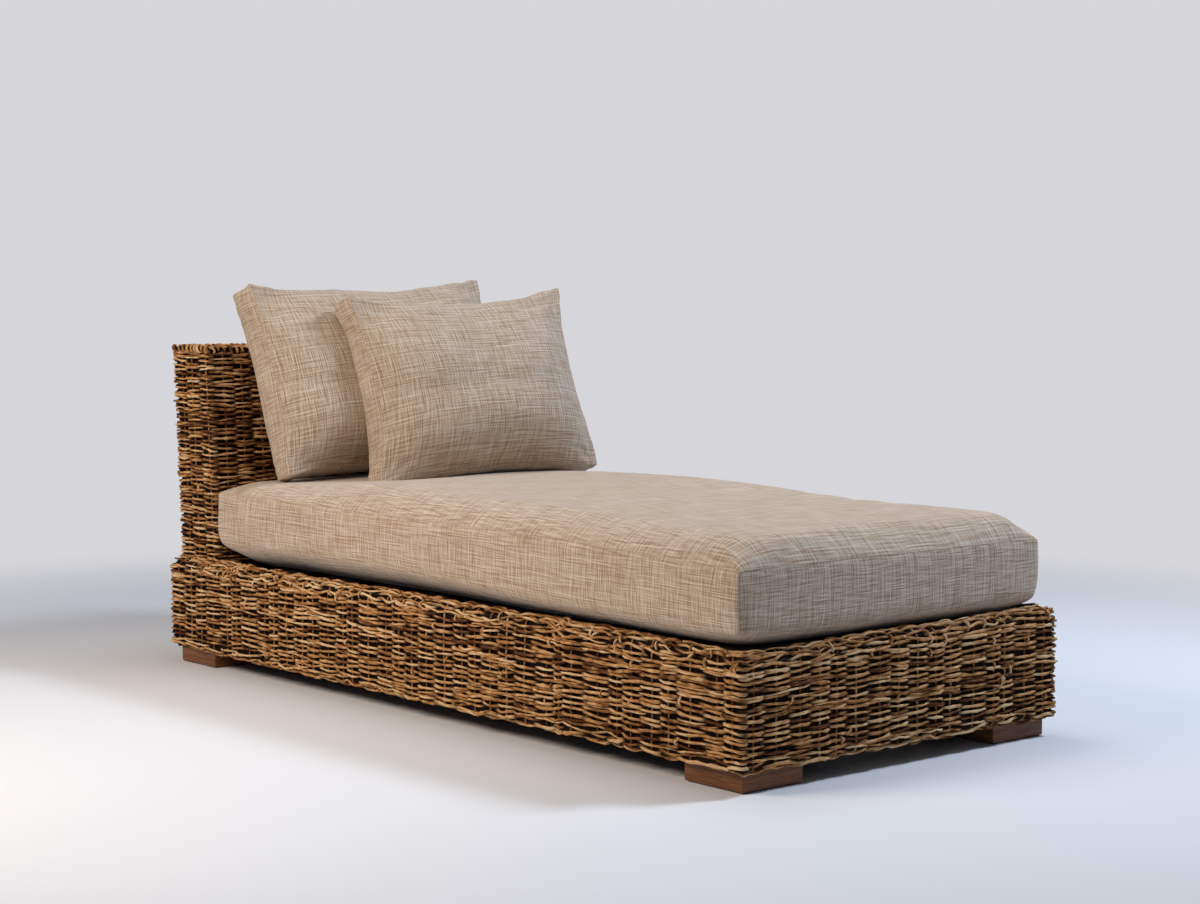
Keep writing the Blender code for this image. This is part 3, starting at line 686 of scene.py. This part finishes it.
    def loose_end(self, around, down, run, fall):
        """An end of vine that lies over the others for a stretch and tucks in at both ends."""
        look, chance = self.look, self.chance
        share = np.linspace(0, 1, 9 if abs(run) < 40 * MM else 13)
        out = -3 * MM + (look.swing + 5 * MM) * np.sin(pi * share) ** 0.6
        radius = look.strand_radius * chance.uniform(0.60, 0.95) * (1 + 0.12 * drift(chance, share, 0.2, 0.6))
        tone = chance.normal(0.55, 0.22) + 0.1 * drift(chance, share, 0.4, 1)
        bend = drift(chance, share, 0.5, 1.3) * 2 * MM
        bundle, place = self.walls[self.skin.wall(around)], around + run * share
        level = self.sag(place, down) + down + fall * share
        if abs(run) > abs(fall):
            level = level + bend
        else:
            place = place + bend
        self.strand(bundle, place, level, out, radius, tone)

    def loose_ends(self, count, *kinds):
        """Loose ends of each kind in turn: where they may start down the wall, run and fall."""
        uniform = self.chance.uniform
        for _ in range(count):
            for starts, runs, falls in kinds:
                around, down = uniform(0, self.skin.round), uniform(*starts)
                self.loose_end(around, down, uniform(*runs) * MM, uniform(*falls) * MM)

    def coil(self, down, out, reach, pitch, thick):
        """A border: one strand wound round and round a core along the edge."""
        skin, chance = self.skin, self.chance
        for wall, begin, end in skin.spans():
            around = np.arange(begin, end, pitch / STEPS_PER_COIL)
            plain = np.ones(len(around))
            turn = 2 * pi * around / pitch + 1.3 * drift(chance, around, 0.05, 0.2)
            size = reach * (1 + 0.12 * drift(chance, around, 0.02, 0.06))
            radius = thick * (1 + 0.20 * drift(chance, around, 0.02, 0.06))
            tone = 0.40 + 0.40 * drift(chance, around, 0.03, 0.2)
            push = COIL_PUSH * bell(skin.from_corner(around), 14 * MM)
            path = skin.place(around, down + size * np.sin(turn), out + push + size * np.cos(turn))[0]
            middle = skin.place(around, down * plain, out + push)[0]
            self.walls[wall].add(chance, path, path - middle, radius, tone, 0.1 * plain)
            core = skin.steps(begin, end)
            plain = np.ones(len(core))
            inner = (plain * down, plain * out, plain * reach * 0.6, plain * 0.1, plain)
            self.strand(self.walls[wall], core, *inner)

    def wall_up(self, levels, kind_at, top, foot):
        """Every row, of the kind that belongs at its level, and every stake."""
        for number, down in enumerate(levels):
            self.shaded_backing(down)
            self.row(number, down, *kind_at(down))
        for number in range(self.skin.stakes):
            self.stake(number, top, foot)

    def make(self, names, material, node):
        """The pieces, one for each wall, in place of the solid skin."""
        for name, bundle in zip(names, self.walls):
            piece = bundle.make(name, material)
            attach(piece, "daybed")
            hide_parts(node)


def base_profile():
    """Inset, height and tilt down the middle of the base's skin: rim, rolled shoulder, wall, border and tuck."""
    half = WALL_MIDDLE
    top, bottom = BASE_HIGH.z + RIM_LIFT, BASE_LOW.z - BORDER_DROP
    arc = RIM_RADIUS - half
    places = [(RIM_RETURN, top - half, pi / 2)]
    for angle in np.linspace(pi / 2, 0, 9):
        places.append((RIM_RADIUS - arc * cos(angle), top - RIM_RADIUS + arc * sin(angle), angle))
    edge = bottom + half + BORDER_RADIUS
    for angle in np.linspace(0, -pi / 2, 5):
        places.append((half + BORDER_RADIUS * (1 - cos(angle)), edge + BORDER_RADIUS * sin(angle), angle))
    return [*places, (RIM_RETURN, bottom + half, -pi / 2)]


class DAYBED_OT_base_weave(bpy.types.Operator):
    """Weaves the skin of the base over its stakes, with looser rows on the rim and the border"""

    bl_idname = "daybed.base_weave"
    bl_label = "Base Weave"

    def execute(self, context):
        look = context.scene.daybed_weave
        half = ((BASE_HIGH.x - BASE_LOW.x) / 2, (BASE_HIGH.y - BASE_LOW.y) / 2)
        middle = (BASE_HIGH.x + BASE_LOW.x) / 2
        skin = Skin(middle, half, base_profile(), look.stake_pitch, settling=RIM_SETTLING)
        weaver = Weaver(skin, look, look.seed)
        # Where the rim turns, where its shoulder ends, where the wall ends and where the skin ends
        rim, shoulder, foot, end = skin.down[[1, 9, 10, -1]]
        edge = 4 * MM
        levels = [edge]
        while levels[-1] < end - edge:
            levels.append(levels[-1] + look.row_pitch * (CLOSE_ROWS if levels[-1] < shoulder - edge else 1.0))

        def kind_at(down):
            return RIM_ROW if down < shoulder else BORDER_ROW if down > foot - BORDER_ROWS else WALL_ROW

        weaver.wall_up(levels, kind_at, 2 * MM, end - MM)
        tucks, trails = (rim + 2 * MM, rim + 30 * MM), (rim, shoulder + 8 * MM)
        weaver.loose_ends(90, (tucks, *RIM_TUCK), (trails, *RIM_TRAIL))
        tucks, trails = (shoulder, foot - 30 * MM), (shoulder, foot - 8 * MM)
        weaver.loose_ends(80, (tucks, *WALL_TUCK), (trails, *BASE_TRAIL))
        names = ("base_weave_foot", "base_weave_left", "base_weave_head", "base_weave_right")
        weaver.make(names, woven_abaca(look), "base_weave")
        return {"FINISHED"}


class DAYBED_OT_back_weave(bpy.types.Operator):
    """Weaves the skin of the back, closes its top and winds a border along its edge"""

    bl_idname = "daybed.back_weave"
    bl_label = "Back Weave"

    def execute(self, context):
        look = context.scene.daybed_weave
        half = (BACK_DEPTH / 2, (BACK_HIGH.y - BACK_LOW.y) / 2)
        middle = BACK_HIGH.x - BACK_DEPTH / 2
        profile = [(WALL_MIDDLE, BACK_HIGH.z + BACK_BORDER, 0), (WALL_MIDDLE, BACK_LOW.z, 0)]
        skin = Skin(middle, half, profile, look.stake_pitch, BACK_LEAN)
        weaver = Weaver(skin, look, look.seed + 1)
        end, border = skin.down[-1], 2 * BACK_BORDER
        levels = np.arange(border + 10 * MM, end - 2 * MM, look.row_pitch * CLOSE_ROWS)
        weaver.wall_up(levels, lambda down: BACK_ROW, border + 3 * MM, end - MM)
        weaver.coil(border, *COIL)
        tucks, trails = (border + 14 * MM, end - 40 * MM), (border + 14 * MM, end - 20 * MM)
        weaver.loose_ends(45, (tucks, *WALL_TUCK), (trails, *BACK_TRAIL))
        weaver.walls.append(self.closed_top(look, weaver.chance, middle - BACK_LEAN, half))
        names = [f"back_weave_{side}" for side in ("front", "left", "rear", "right", "top")]
        weaver.make(names, bpy.data.materials["woven_abaca_vine"], "back_weave")
        return {"FINISHED"}

    def closed_top(self, look, chance, middle, half):
        """Rows that close the top of the back, over and under short cross stakes."""
        bundle = Bundle()
        level = BACK_HIGH.z - BACK_BORDER - TOP_DROP
        reach_x, reach_y = half[0] - TOP_INSET, half[1] - TOP_INSET
        upward = np.array([[0, 0, 1]])
        stakes = np.linspace(-reach_y, reach_y, 2 * round(reach_y / look.stake_pitch) + 1)
        pitch = stakes[1] - stakes[0]
        y = np.arange(-reach_y, reach_y, pitch / STEPS_PER_STAKE)
        for number, x in enumerate(np.arange(-reach_x, reach_x, look.row_pitch)):
            wave = np.cos(pi * ((y - stakes[0]) / pitch + number))
            stray = (drift(chance, y, 0.1, 0.3) + drift(chance, y, 0.3, 0.8)) * 0.9 * MM
            path = np.stack([middle + x + stray, y, level + TOP_SWING * wave], 1)
            radius = look.strand_radius * chance.uniform(0.86, 1.14) * (1 + 0.12 * drift(chance, y, 0.03, 0.1))
            tone = chance.normal(0.5, 0.2) + 0.14 * drift(chance, y, 0.08, 0.4)
            # Painted shade: a row is painted darker where it dips under a cross stake
            bundle.add(chance, path, upward.repeat(len(y), 0), radius, tone, np.clip(0.5 - wave / 2, 0, 1))
        x = np.arange(-reach_x, reach_x, STAKE_STEP)
        plain = np.ones(len(x))
        for y in stakes:
            path = np.stack([middle + x, y + drift(chance, x, 0.05, 0.2) * MM, plain * level], 1)
            out = upward.repeat(len(x), 0)
            # Painted shade: the cross stakes are painted a little toward the near-black recess colour
            bundle.add(chance, path, out, plain * look.stake_radius, plain * 0.3, plain * 0.4)
        return bundle


def rise(inward, reach, power=3.0):
    """How much of the crown there is at a distance inward: none at the edge, all of it at the reach."""
    return 1 - (1 - np.minimum(1, inward / reach)) ** power


def full(one, other):
    """Joins two rises so that the corners between them stay plump."""
    return one * other / np.maximum(one + other - one * other, TINY)


def curve(place, knots, values):
    """A smooth curve through values at knots."""
    knots, values = np.array(knots, float), np.array(values)
    slope = np.gradient(values, knots)
    at = np.clip(np.searchsorted(knots, place, side="right") - 1, 0, len(knots) - 2)
    run = knots[at + 1] - knots[at]
    share = (place - knots[at]) / run
    left = values[at] * (1 + 2 * share) + slope[at] * run * share
    right = values[at + 1] * (3 - 2 * share) + slope[at + 1] * run * (share - 1)
    return left * (1 - share) ** 2 + right * share**2


def seat_points(grid):
    """Places on the seat's cover for places on a cube: depth is up, across is to the left, along is to the head."""
    depth, across, along = grid.T
    half_width, half_length = (SEAT_Y[1] - SEAT_Y[0]) / 2, (SEAT_X[1] - SEAT_X[0]) / 2
    inward = half_width * (1 - np.abs(across)), half_length * (1 - np.abs(along))
    high, low = curve(along, *SEAT_HIGH_SEAM), curve(along, *SEAT_LOW_SEAM)
    low = low + (SEAT_SUNK_SEAM - low) * ramp(across, 0.6, 1.0) * ramp(along, -1.0, -0.75)
    crown = high + (curve(along, *SEAT_CROWN) - high) * full(*(rise(run, SEAT_REACHES[0]) for run in inward))
    under = low + (SEAT_REST - low) * full(*(rise(run, SEAT_REACHES[1]) for run in inward))
    side = low + (high - low) * (depth + 1) / 2
    z = np.select([depth > AT_EDGE, depth < -AT_EDGE], [crown, under], side)
    y = across * (half_width - SEAT_DRAW_IN[0] * (1 - along * along))
    x = -along * (half_length - SEAT_DRAW_IN[1] * (1 - across * across))
    return np.stack([sum(SEAT_X) / 2 + x, sum(SEAT_Y) / 2 + y, z], 1)


def pillow_points(grid, place, turn, width, height, draw_in, slump):
    """Places on a pillow's cover for places on a cube: faces crown, and edges draw in between the corners."""
    depth, across, up = grid.T
    crown = np.where(depth > 0, *PILLOW_CROWNS)
    # The filling has settled, so that the belly is below the middle
    tall = np.where(up > PILLOW_BELLY, 1 - PILLOW_BELLY, 1 + PILLOW_BELLY)
    power = np.where(up > PILLOW_BELLY, 2.2, 3.6)
    filled = rise(width / 2 * (1 - np.abs(across)), PILLOW_REACH, 2.4) * rise(1 - np.abs(up), tall, power)
    sides_in, top_in, foot_in = draw_in
    x = depth * (PILLOW_SEAM * (1 - PILLOW_NARROWING * ramp(-up, 0.4, 1.0)) + crown * filled)
    y = across * (width / 2 - sides_in * (1 - up * up))
    z = up * (height / 2 - np.where(up > 0, top_in, foot_in) * (1 - across * across))
    # The lower corner on the right has slumped outward and down
    slumped = ramp(-up, 0.2, 1.0) * ramp(-across, 0.0, 1.0)
    y, z = y - slump[0] * slumped, z - slump[1] * slumped
    turned = np.array(Euler([radians(angle) for angle in turn]).to_matrix())
    return np.stack([x, y, z], 1) @ turned.T + np.array(place)


def cloth_piece(name, points, faces, flat):
    """A smooth piece with the cloth's own map."""
    mesh = bpy.data.meshes.new(name)
    mesh.from_pydata(points.reshape(-1, 3).tolist(), [], faces)
    mesh.uv_layers.new(name="cloth").uv.foreach_set("vector", np.array(flat, np.float32).ravel())
    mesh.polygons.foreach_set("use_smooth", np.ones(len(faces), bool))
    mesh.update()
    return link(bpy.data.objects.new(name, mesh))


def sewn_cover(name, sizes, cell, shape):
    """A closed cover of six panels on a fine grid. Returns it and its grid."""
    counts = [max(6, 2 * round(side / cell / 2)) for side in sizes]
    known, grid, faces, flat = {}, [], [], []
    for panel, (axis, far) in enumerate(product(range(3), (False, True)), 1):
        first, second = (axis + 1) % 3, (axis + 2) % 3
        for i, j in product(range(counts[first]), range(counts[second])):
            ring = [(i, j), (i + 1, j), (i + 1, j + 1), (i, j + 1)]
            face = []
            for a, b in ring if far else reversed(ring):
                spot = [0, 0, 0]
                spot[axis], spot[first], spot[second] = counts[axis] * far, a, b
                if tuple(spot) not in known:
                    known[tuple(spot)] = len(grid)
                    grid.append([2 * at / count - 1 for at, count in zip(spot, counts)])
                face.append(known[tuple(spot)])
                u, v = a / counts[first] * sizes[first], b / counts[second] * sizes[second]
                flat.append((u + PANEL_GAP * panel, v))
            faces.append(face)
    grid = np.array(grid)
    return cloth_piece(name, shape(grid), faces, flat), grid


def read_points(mesh, what="co"):
    places = np.empty(len(mesh.vertices) * 3)
    mesh.vertices.foreach_get(what, places)
    return places.reshape(-1, 3)


def write_points(mesh, places):
    mesh.vertices.foreach_set("co", np.ascontiguousarray(places).ravel())
    mesh.update()


def evened(mesh, values, rounds):
    """Values at the corners of a mesh, spread evenly to their neighbours."""
    ends = np.empty(len(mesh.edges) * 2, int)
    mesh.edges.foreach_get("vertices", ends)
    here, there = np.concatenate([ends[::2], ends[1::2]]), np.concatenate([ends[1::2], ends[::2]])
    count = len(mesh.vertices)
    near = np.bincount(here, minlength=count)
    for _ in range(rounds):
        mean = np.stack([np.bincount(here, part[there], count) for part in values.T], 1) / near[:, None]
        values = (values + mean) / 2
    return values


def soften(mesh, rounds, share):
    """Rounds the edges of a cover, by a share of the full amount at each corner of its mesh."""
    points = read_points(mesh)
    write_points(mesh, points + share[:, None] * (evened(mesh, points, rounds) - points))


def rumple(mesh, grid, sizes, chance, lump, longest, pucker):
    """Makes a cover uneven before it is filled: slow lumps, small puckers at the seams and folds from the corners."""
    half = np.array(sizes) / 2
    flat = grid * half
    inward = np.sort(half - np.abs(flat), axis=1)[:, 1]
    push = np.zeros(len(grid))
    lumps = 7, (0.5, 1.0), longest, lump / 2.6, 1
    puckers = 5, (0.025, 0.05), 1, pucker / 2.2, np.exp(-inward / (16 * MM))
    for count, lengths, scale, height, hold in (lumps, puckers):
        for _ in range(count):
            way = chance.normal(0, 1, 3)
            way /= np.linalg.norm(way) * chance.uniform(*lengths) * scale
            push += height * np.sin(2 * pi * (flat @ way + chance.random())) * hold
    for corner in product((-1, 1), repeat=3):
        gap = flat - corner * half
        far = np.linalg.norm(gap, axis=1)
        angle = np.arctan2(np.abs(gap[:, 2]), np.abs(gap[:, 1]))
        fold = np.sin(chance.uniform(9, 13) * angle + chance.uniform(0, 2 * pi))
        push += 1.6 * pucker * fold * np.exp(-far / (70 * MM)) * (1 - np.exp(-far / (25 * MM)))
    write_points(mesh, read_points(mesh) + read_points(mesh, "normal") * push[:, None])


def swell(piece, grid, look, slack, most):
    """Fills a cover in a cloth simulation: its seams are held, and the cloth between them swells and puckers."""
    start = read_points(piece.data)
    held = piece.vertex_groups.new(name="seams")
    on_edge = (np.abs(grid) > AT_EDGE).sum(1) >= 2
    held.add([int(at) for at in np.flatnonzero(on_edge)], 1.0, "REPLACE")
    sim = piece.modifiers.new("stuffing", "CLOTH")
    cloth = {
        "quality": 5,
        "mass": 0.2,
        "tension_stiffness": 12,
        "compression_stiffness": 12,
        "shear_stiffness": 5,
        "bending_stiffness": 0.6,
        "use_pressure": True,
        "uniform_pressure_force": look.pressure,
        "shrink_min": -slack,
        "vertex_group_mass": held.name,
    }
    for name, value in cloth.items():
        setattr(sim.settings, name, value)
    sim.settings.effector_weights.gravity = 0
    sim.collision_settings.use_collision = False
    sim.point_cache.frame_start = 1
    sim.point_cache.frame_end = SIM_FRAMES
    scene = bpy.context.scene
    for number in range(1, SIM_FRAMES + 1):
        scene.frame_set(number)
    shaped = piece.evaluated_get(bpy.context.evaluated_depsgraph_get())
    moved = read_points(shaped.data) - start
    piece.modifiers.remove(sim)
    piece.vertex_groups.remove(held)
    scene.frame_set(1)
    length = np.linalg.norm(moved, axis=1, keepdims=True)
    write_points(piece.data, start + moved * np.minimum(1, most / np.maximum(length, TINY)))


def press_back(mesh, others):
    """Presses a soft mesh back from firmer ones that it would enter, with a soft rim round each dent."""
    points = read_points(mesh)
    pressed = points.copy()
    for other in others:
        faces = [face.vertices[:] for face in other.polygons]
        tree = BVHTree.FromPolygons([point.co for point in other.vertices], faces)
        for at, point in enumerate(pressed):
            near, normal, _, _ = tree.find_nearest(Vector(point), DENT_REACH)
            if near is not None and (Vector(point) - near).dot(normal) < CLEARANCE:
                pressed[at] = near + normal * CLEARANCE
    moved = pressed - points
    soft = evened(mesh, moved, DENT_ROUNDS)
    further = np.linalg.norm(soft, axis=1) > np.linalg.norm(moved, axis=1)
    write_points(mesh, points + np.where(further[:, None], soft, moved))


def seam_ridge(name, piece, grid, material):
    """A fine ridge where the cloth is folded in along the seam of the upper face."""
    depth, across, along = grid.T
    square = np.maximum(np.abs(across), np.abs(along))
    spots = np.flatnonzero((depth > AT_EDGE) & (square > AT_EDGE))
    loop = spots[np.argsort(np.arctan2((along / square)[spots], (across / square)[spots]))]
    places = read_points(piece.data)[loop]
    normals = np.array([piece.data.vertices[int(at)].normal for at in loop])
    side = unit(np.cross(unit(np.roll(places, -1, 0) - np.roll(places, 1, 0)), normals))
    angle = 2 * pi * np.arange(SEAM_SIDES) / SEAM_SIDES
    rings = tube(places, normals, side, np.full((len(loop), SEAM_SIDES), SEAM_RADIUS), angle)
    faces, flat = [], []
    for at, begin in enumerate(run_length(places)):
        here, after = at * SEAM_SIDES, (at + 1) % len(loop) * SEAM_SIDES
        end = begin + 10 * MM
        for spot in range(SEAM_SIDES):
            nearby = (spot + 1) % SEAM_SIDES
            faces.append([here + spot, here + nearby, after + nearby, after + spot])
            low, high = spot * SEAM_RADIUS, (spot + 1) * SEAM_RADIUS
            flat.extend([(begin, low), (begin, high), (end, high), (end, low)])
    ridge = cloth_piece(name, rings, faces, flat)
    ridge.data.materials.append(material)
    return ridge


def finish_cushion(piece, body, node, material):
    """Smooths a filled cover and makes it stand for its solid."""
    piece.data.materials.append(material)
    smooth = piece.modifiers.new("smooth", "SUBSURF")
    smooth.levels = smooth.render_levels = 1
    finished = bpy.data.meshes.new_from_object(piece.evaluated_get(bpy.context.evaluated_depsgraph_get()))
    piece.modifiers.remove(smooth)
    piece.data = finished
    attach(piece, body)
    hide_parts(node)


class DAYBED_OT_pillows(bpy.types.Operator):
    """Sews and fills the two loose pillows"""

    bl_idname = "daybed.pillows"
    bl_label = "Pillows"

    def execute(self, context):
        look = context.scene.daybed_linen
        # Painted shade: the pillows get a darker copy of the seat's linen
        material = slub_linen("slub_linen_pillow_shaded", look.pillow_shade_ecru, look.pillow_shade_tan)
        chance = np.random.default_rng(look.seed)
        behind = frame["nodes"]["back_weave"].data
        for end, numbers in (("rear", REAR_PILLOW), ("front", FRONT_PILLOW)):
            sizes = (2 * PILLOW_SEAM, *numbers[2:4])
            piece, grid = sewn_cover(
                f"{end}_pillow_cover", sizes, look.pillow_cell, lambda grid: pillow_points(grid, *numbers)
            )
            rumple(piece.data, grid, sizes, chance, 3.0 * MM, 0.40, 1.6 * MM)
            swell(piece, grid, look, 0.03, look.pillow_swell)
            from_corner = np.linalg.norm((1 - np.abs(grid)) * np.array(sizes) / 2, axis=1)
            soften(piece.data, 10, ramp(from_corner, 0.02, 0.13))
            press_back(piece.data, [behind])
            finish_cushion(piece, f"pillow_{end}", f"{end}_pillow", material)
            behind = piece.data
        return {"FINISHED"}


class DAYBED_OT_seat(bpy.types.Operator):
    """Sews and fills the boxed seat cushion, which gives way under the pillows"""

    bl_idname = "daybed.seat"
    bl_label = "Seat Cushion"

    def execute(self, context):
        look = context.scene.daybed_linen
        material = slub_linen("slub_linen_plain_woven", look.ecru, look.tan)
        sizes = (SEAT_HIGH_SEAM[1][2] - SEAT_LOW_SEAM[1][1], SEAT_Y[1] - SEAT_Y[0], SEAT_X[1] - SEAT_X[0])
        piece, grid = sewn_cover("seat_cushion_cover", sizes, look.seat_cell, seat_points)
        rumple(piece.data, grid, sizes, np.random.default_rng(look.seed + 1), 2.2 * MM, 0.80, 1.2 * MM)
        swell(piece, grid, look, 0.02, look.seat_swell)
        soften(piece.data, 6, ramp(-grid[:, 0], 0.3, 1.0))
        firmer = [bpy.data.objects[f"{end}_pillow_cover"].data for end in ("rear", "front")]
        press_back(piece.data, [*firmer, frame["nodes"]["back_weave"].data])
        places = read_points(piece.data)
        places[:, 2] = np.maximum(places[:, 2], SEAT_REST)
        write_points(piece.data, places)
        finish_cushion(piece, "seat", "seat_cushion", material)
        ridge = seam_ridge("seat_cushion_seam", piece, grid, material)
        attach(ridge, "seat")
        return {"FINISHED"}


def give(start, material):
    """Gives the solids whose names start alike their material."""
    for name, node in frame["nodes"].items():
        if name.startswith(start):
            node.material_slots[0].material = material


class DAYBED_OT_feet(bpy.types.Operator):
    """Gives the block feet their walnut and the glides under them their nylon"""

    bl_idname = "daybed.feet"
    bl_label = "Feet"

    def execute(self, context):
        look = context.scene.daybed_timber
        # Oiled walnut shows level brown grain lines and a low shine
        shades = look.walnut, look.walnut_grain
        give("leg_block", grained_timber("walnut_sawn_and_oiled", *shades, 2.2, (0.05, 0.05, 1), 0.42))
        give("leg_glide", moulded_nylon(look))
        return {"FINISHED"}


class DAYBED_OT_frame(bpy.types.Operator):
    """Gives the timber frame inside its near-black colour, painted shade, and the coach screws their zinc"""

    bl_idname = "daybed.frame"
    bl_label = "Frame"

    def execute(self, context):
        look = context.scene.daybed_timber
        # Planed softwood keeps its grain and has hardly any shine; its near-black colour is painted shade for the
        # inside of the base
        runs = {"along": (0.04, 1, 1), "across": (1, 0.04, 1), "upright": (1, 1, 0.04)}
        timbers = [
            grained_timber(f"softwood_shaded_{way}", look.frame_shade, look.frame_shade_grain, 2.5, run, 0.6)
            for way, run in runs.items()
        ]
        for name, node in frame["nodes"].items():
            slot = node.material_slots[0]
            if slot.material.name.startswith("frame_timber"):
                low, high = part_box(name)
                sides = list(high - low)
                slot.material = timbers[sides.index(max(sides))]
        give("coach_screw", plated_zinc(look))
        return {"FINISHED"}


def face(thing, way):
    """Turns a camera or a lamp to look a certain way."""
    thing.rotation_euler = way.to_track_quat("-Z", "Y").to_euler()


class DAYBED_OT_stage(bpy.types.Operator):
    """Sets up the camera, the floor and the light"""

    bl_idname = "daybed.stage"
    bl_label = "Stage"

    def execute(self, context):
        look = context.scene.daybed_stage
        scene = context.scene
        scene.view_settings.view_transform = "Standard"
        camera = link(bpy.data.objects.new("camera", bpy.data.cameras.new("camera")))
        camera.data.sensor_fit = "HORIZONTAL"
        camera.data.sensor_width = 36
        camera.data.lens = look.lens
        camera.location = look.camera_place
        turn, pitch = look.camera_turn, look.camera_pitch
        face(camera, Vector((cos(pitch) * cos(turn), cos(pitch) * sin(turn), sin(pitch))))
        scene.camera = camera
        self.lay_floor(look)
        self.hang_lamp("key", (-0.25, -2.6, 1.95), (-0.1, 0.0, 0.35), (1.5, 1.2), look.key, "#ffeedb")
        self.hang_lamp("top", (-0.4, 0.3, 3.7), (0.1, 0.0, 0.4), (2.0, 1.8), look.top, "#f3f7ff")
        self.hang_lamp("side", (1.85, 2.05, 3.2), (-0.3, 0.0, 0.5), (0.8, 0.8), look.side, "#e2edff")
        self.light_world(scene, look)
        return {"FINISHED"}

    def lay_floor(self, look):
        """A pale floor that fades into the backdrop."""
        mesh = bpy.data.meshes.new("floor")
        far = 9.0
        mesh.from_pydata([(-far, -far, 0), (far, -far, 0), (far, far, 0), (-far, far, 0)], [], [(0, 1, 2, 3)])
        floor = link(bpy.data.objects.new("floor", mesh))
        # Painted board: matt and even
        material, add = start_material("floor_matt_paint")
        place = add("ShaderNodeTexCoord").node.outputs["Object"]
        away = add("ShaderNodeVectorMath", {0: place}, operation="LENGTH")
        fade = add("ShaderNodeMapRange", {0: away, 1: 1.6, 2: 3.4}, interpolation_type="SMOOTHSTEP")
        paint = add("ShaderNodeBsdfDiffuse", {"Color": opaque(look.floor)})
        mixed = add("ShaderNodeMixShader", {0: fade, 1: paint, 2: add("ShaderNodeBsdfTransparent")})
        add("ShaderNodeOutputMaterial", {0: mixed})
        mesh.materials.append(material)
        floor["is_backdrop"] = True

    def hang_lamp(self, name, place, aim, sides, watts, tint):
        """A softbox that faces a point."""
        lamp = bpy.data.lights.new(name, "AREA")
        lamp.shape = "RECTANGLE"
        lamp.size, lamp.size_y = sides
        lamp.energy = watts
        lamp.color = linear(tint)
        box = link(bpy.data.objects.new(name, lamp))
        box.location = place
        box.visible_camera = False
        face(box, Vector(aim) - Vector(place))

    def light_world(self, scene, look):
        """An even cool light all round, with the backdrop's colour where the camera or a mirror looks."""
        scene.world = bpy.data.worlds.new("studio")
        add = partial(add_node, empty_tree(scene.world))
        seen = add("ShaderNodeBackground", {"Color": opaque(look.backdrop), "Strength": 1.0})
        light = add("ShaderNodeBackground", {"Color": opaque(linear("#d0e2ff")), "Strength": look.sky})
        rays = add("ShaderNodeLightPath").node.outputs
        shows = rays["Is Camera Ray"]
        for other in ("Is Glossy Ray", "Is Transmission Ray"):
            shows = add("ShaderNodeMath", {0: shows, 1: rays[other]}, operation="MAXIMUM")
        add("ShaderNodeOutputWorld", {0: add("ShaderNodeMixShader", {0: shows, 1: light, 2: seen})})


class DAYBED_PT_panel(bpy.types.Panel):
    """Lists the pieces of the daybed"""

    bl_idname = "DAYBED_PT_panel"
    bl_label = "Woven Daybed"
    bl_space_type = "VIEW_3D"
    bl_region_type = "UI"
    bl_category = "Daybed"

    def draw(self, context):
        for step in OPERATORS:
            self.layout.operator(step.bl_idname)


SETTINGS = {
    "daybed_weave": WeaveSettings,
    "daybed_linen": LinenSettings,
    "daybed_timber": TimberSettings,
    "daybed_stage": StageSettings,
}
OPERATORS = (
    DAYBED_OT_stage,
    DAYBED_OT_base_weave,
    DAYBED_OT_back_weave,
    DAYBED_OT_pillows,
    DAYBED_OT_seat,
    DAYBED_OT_feet,
    DAYBED_OT_frame,
)


def register():
    for group in (*SETTINGS.values(), *OPERATORS, DAYBED_PT_panel):
        bpy.utils.register_class(group)
    for name, group in SETTINGS.items():
        setattr(bpy.types.Scene, name, PointerProperty(type=group))


def unregister():
    for name in SETTINGS:
        delattr(bpy.types.Scene, name)
    for group in (DAYBED_PT_panel, *OPERATORS, *SETTINGS.values()):
        bpy.utils.unregister_class(group)


def main():
    """Dresses the frame."""
    register()
    bpy.ops.daybed.stage()
    bpy.ops.daybed.base_weave()
    bpy.ops.daybed.back_weave()
    bpy.ops.daybed.pillows()
    bpy.ops.daybed.seat()
    bpy.ops.daybed.feet()
    bpy.ops.daybed.frame()
    bpy.context.view_layer.update()
    boxes = {"cad": CAD_BOX, "visual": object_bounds()}
    {name: [list(corner) for corner in box] for name, box in boxes.items()}


if __name__ == "__main__":
    main()
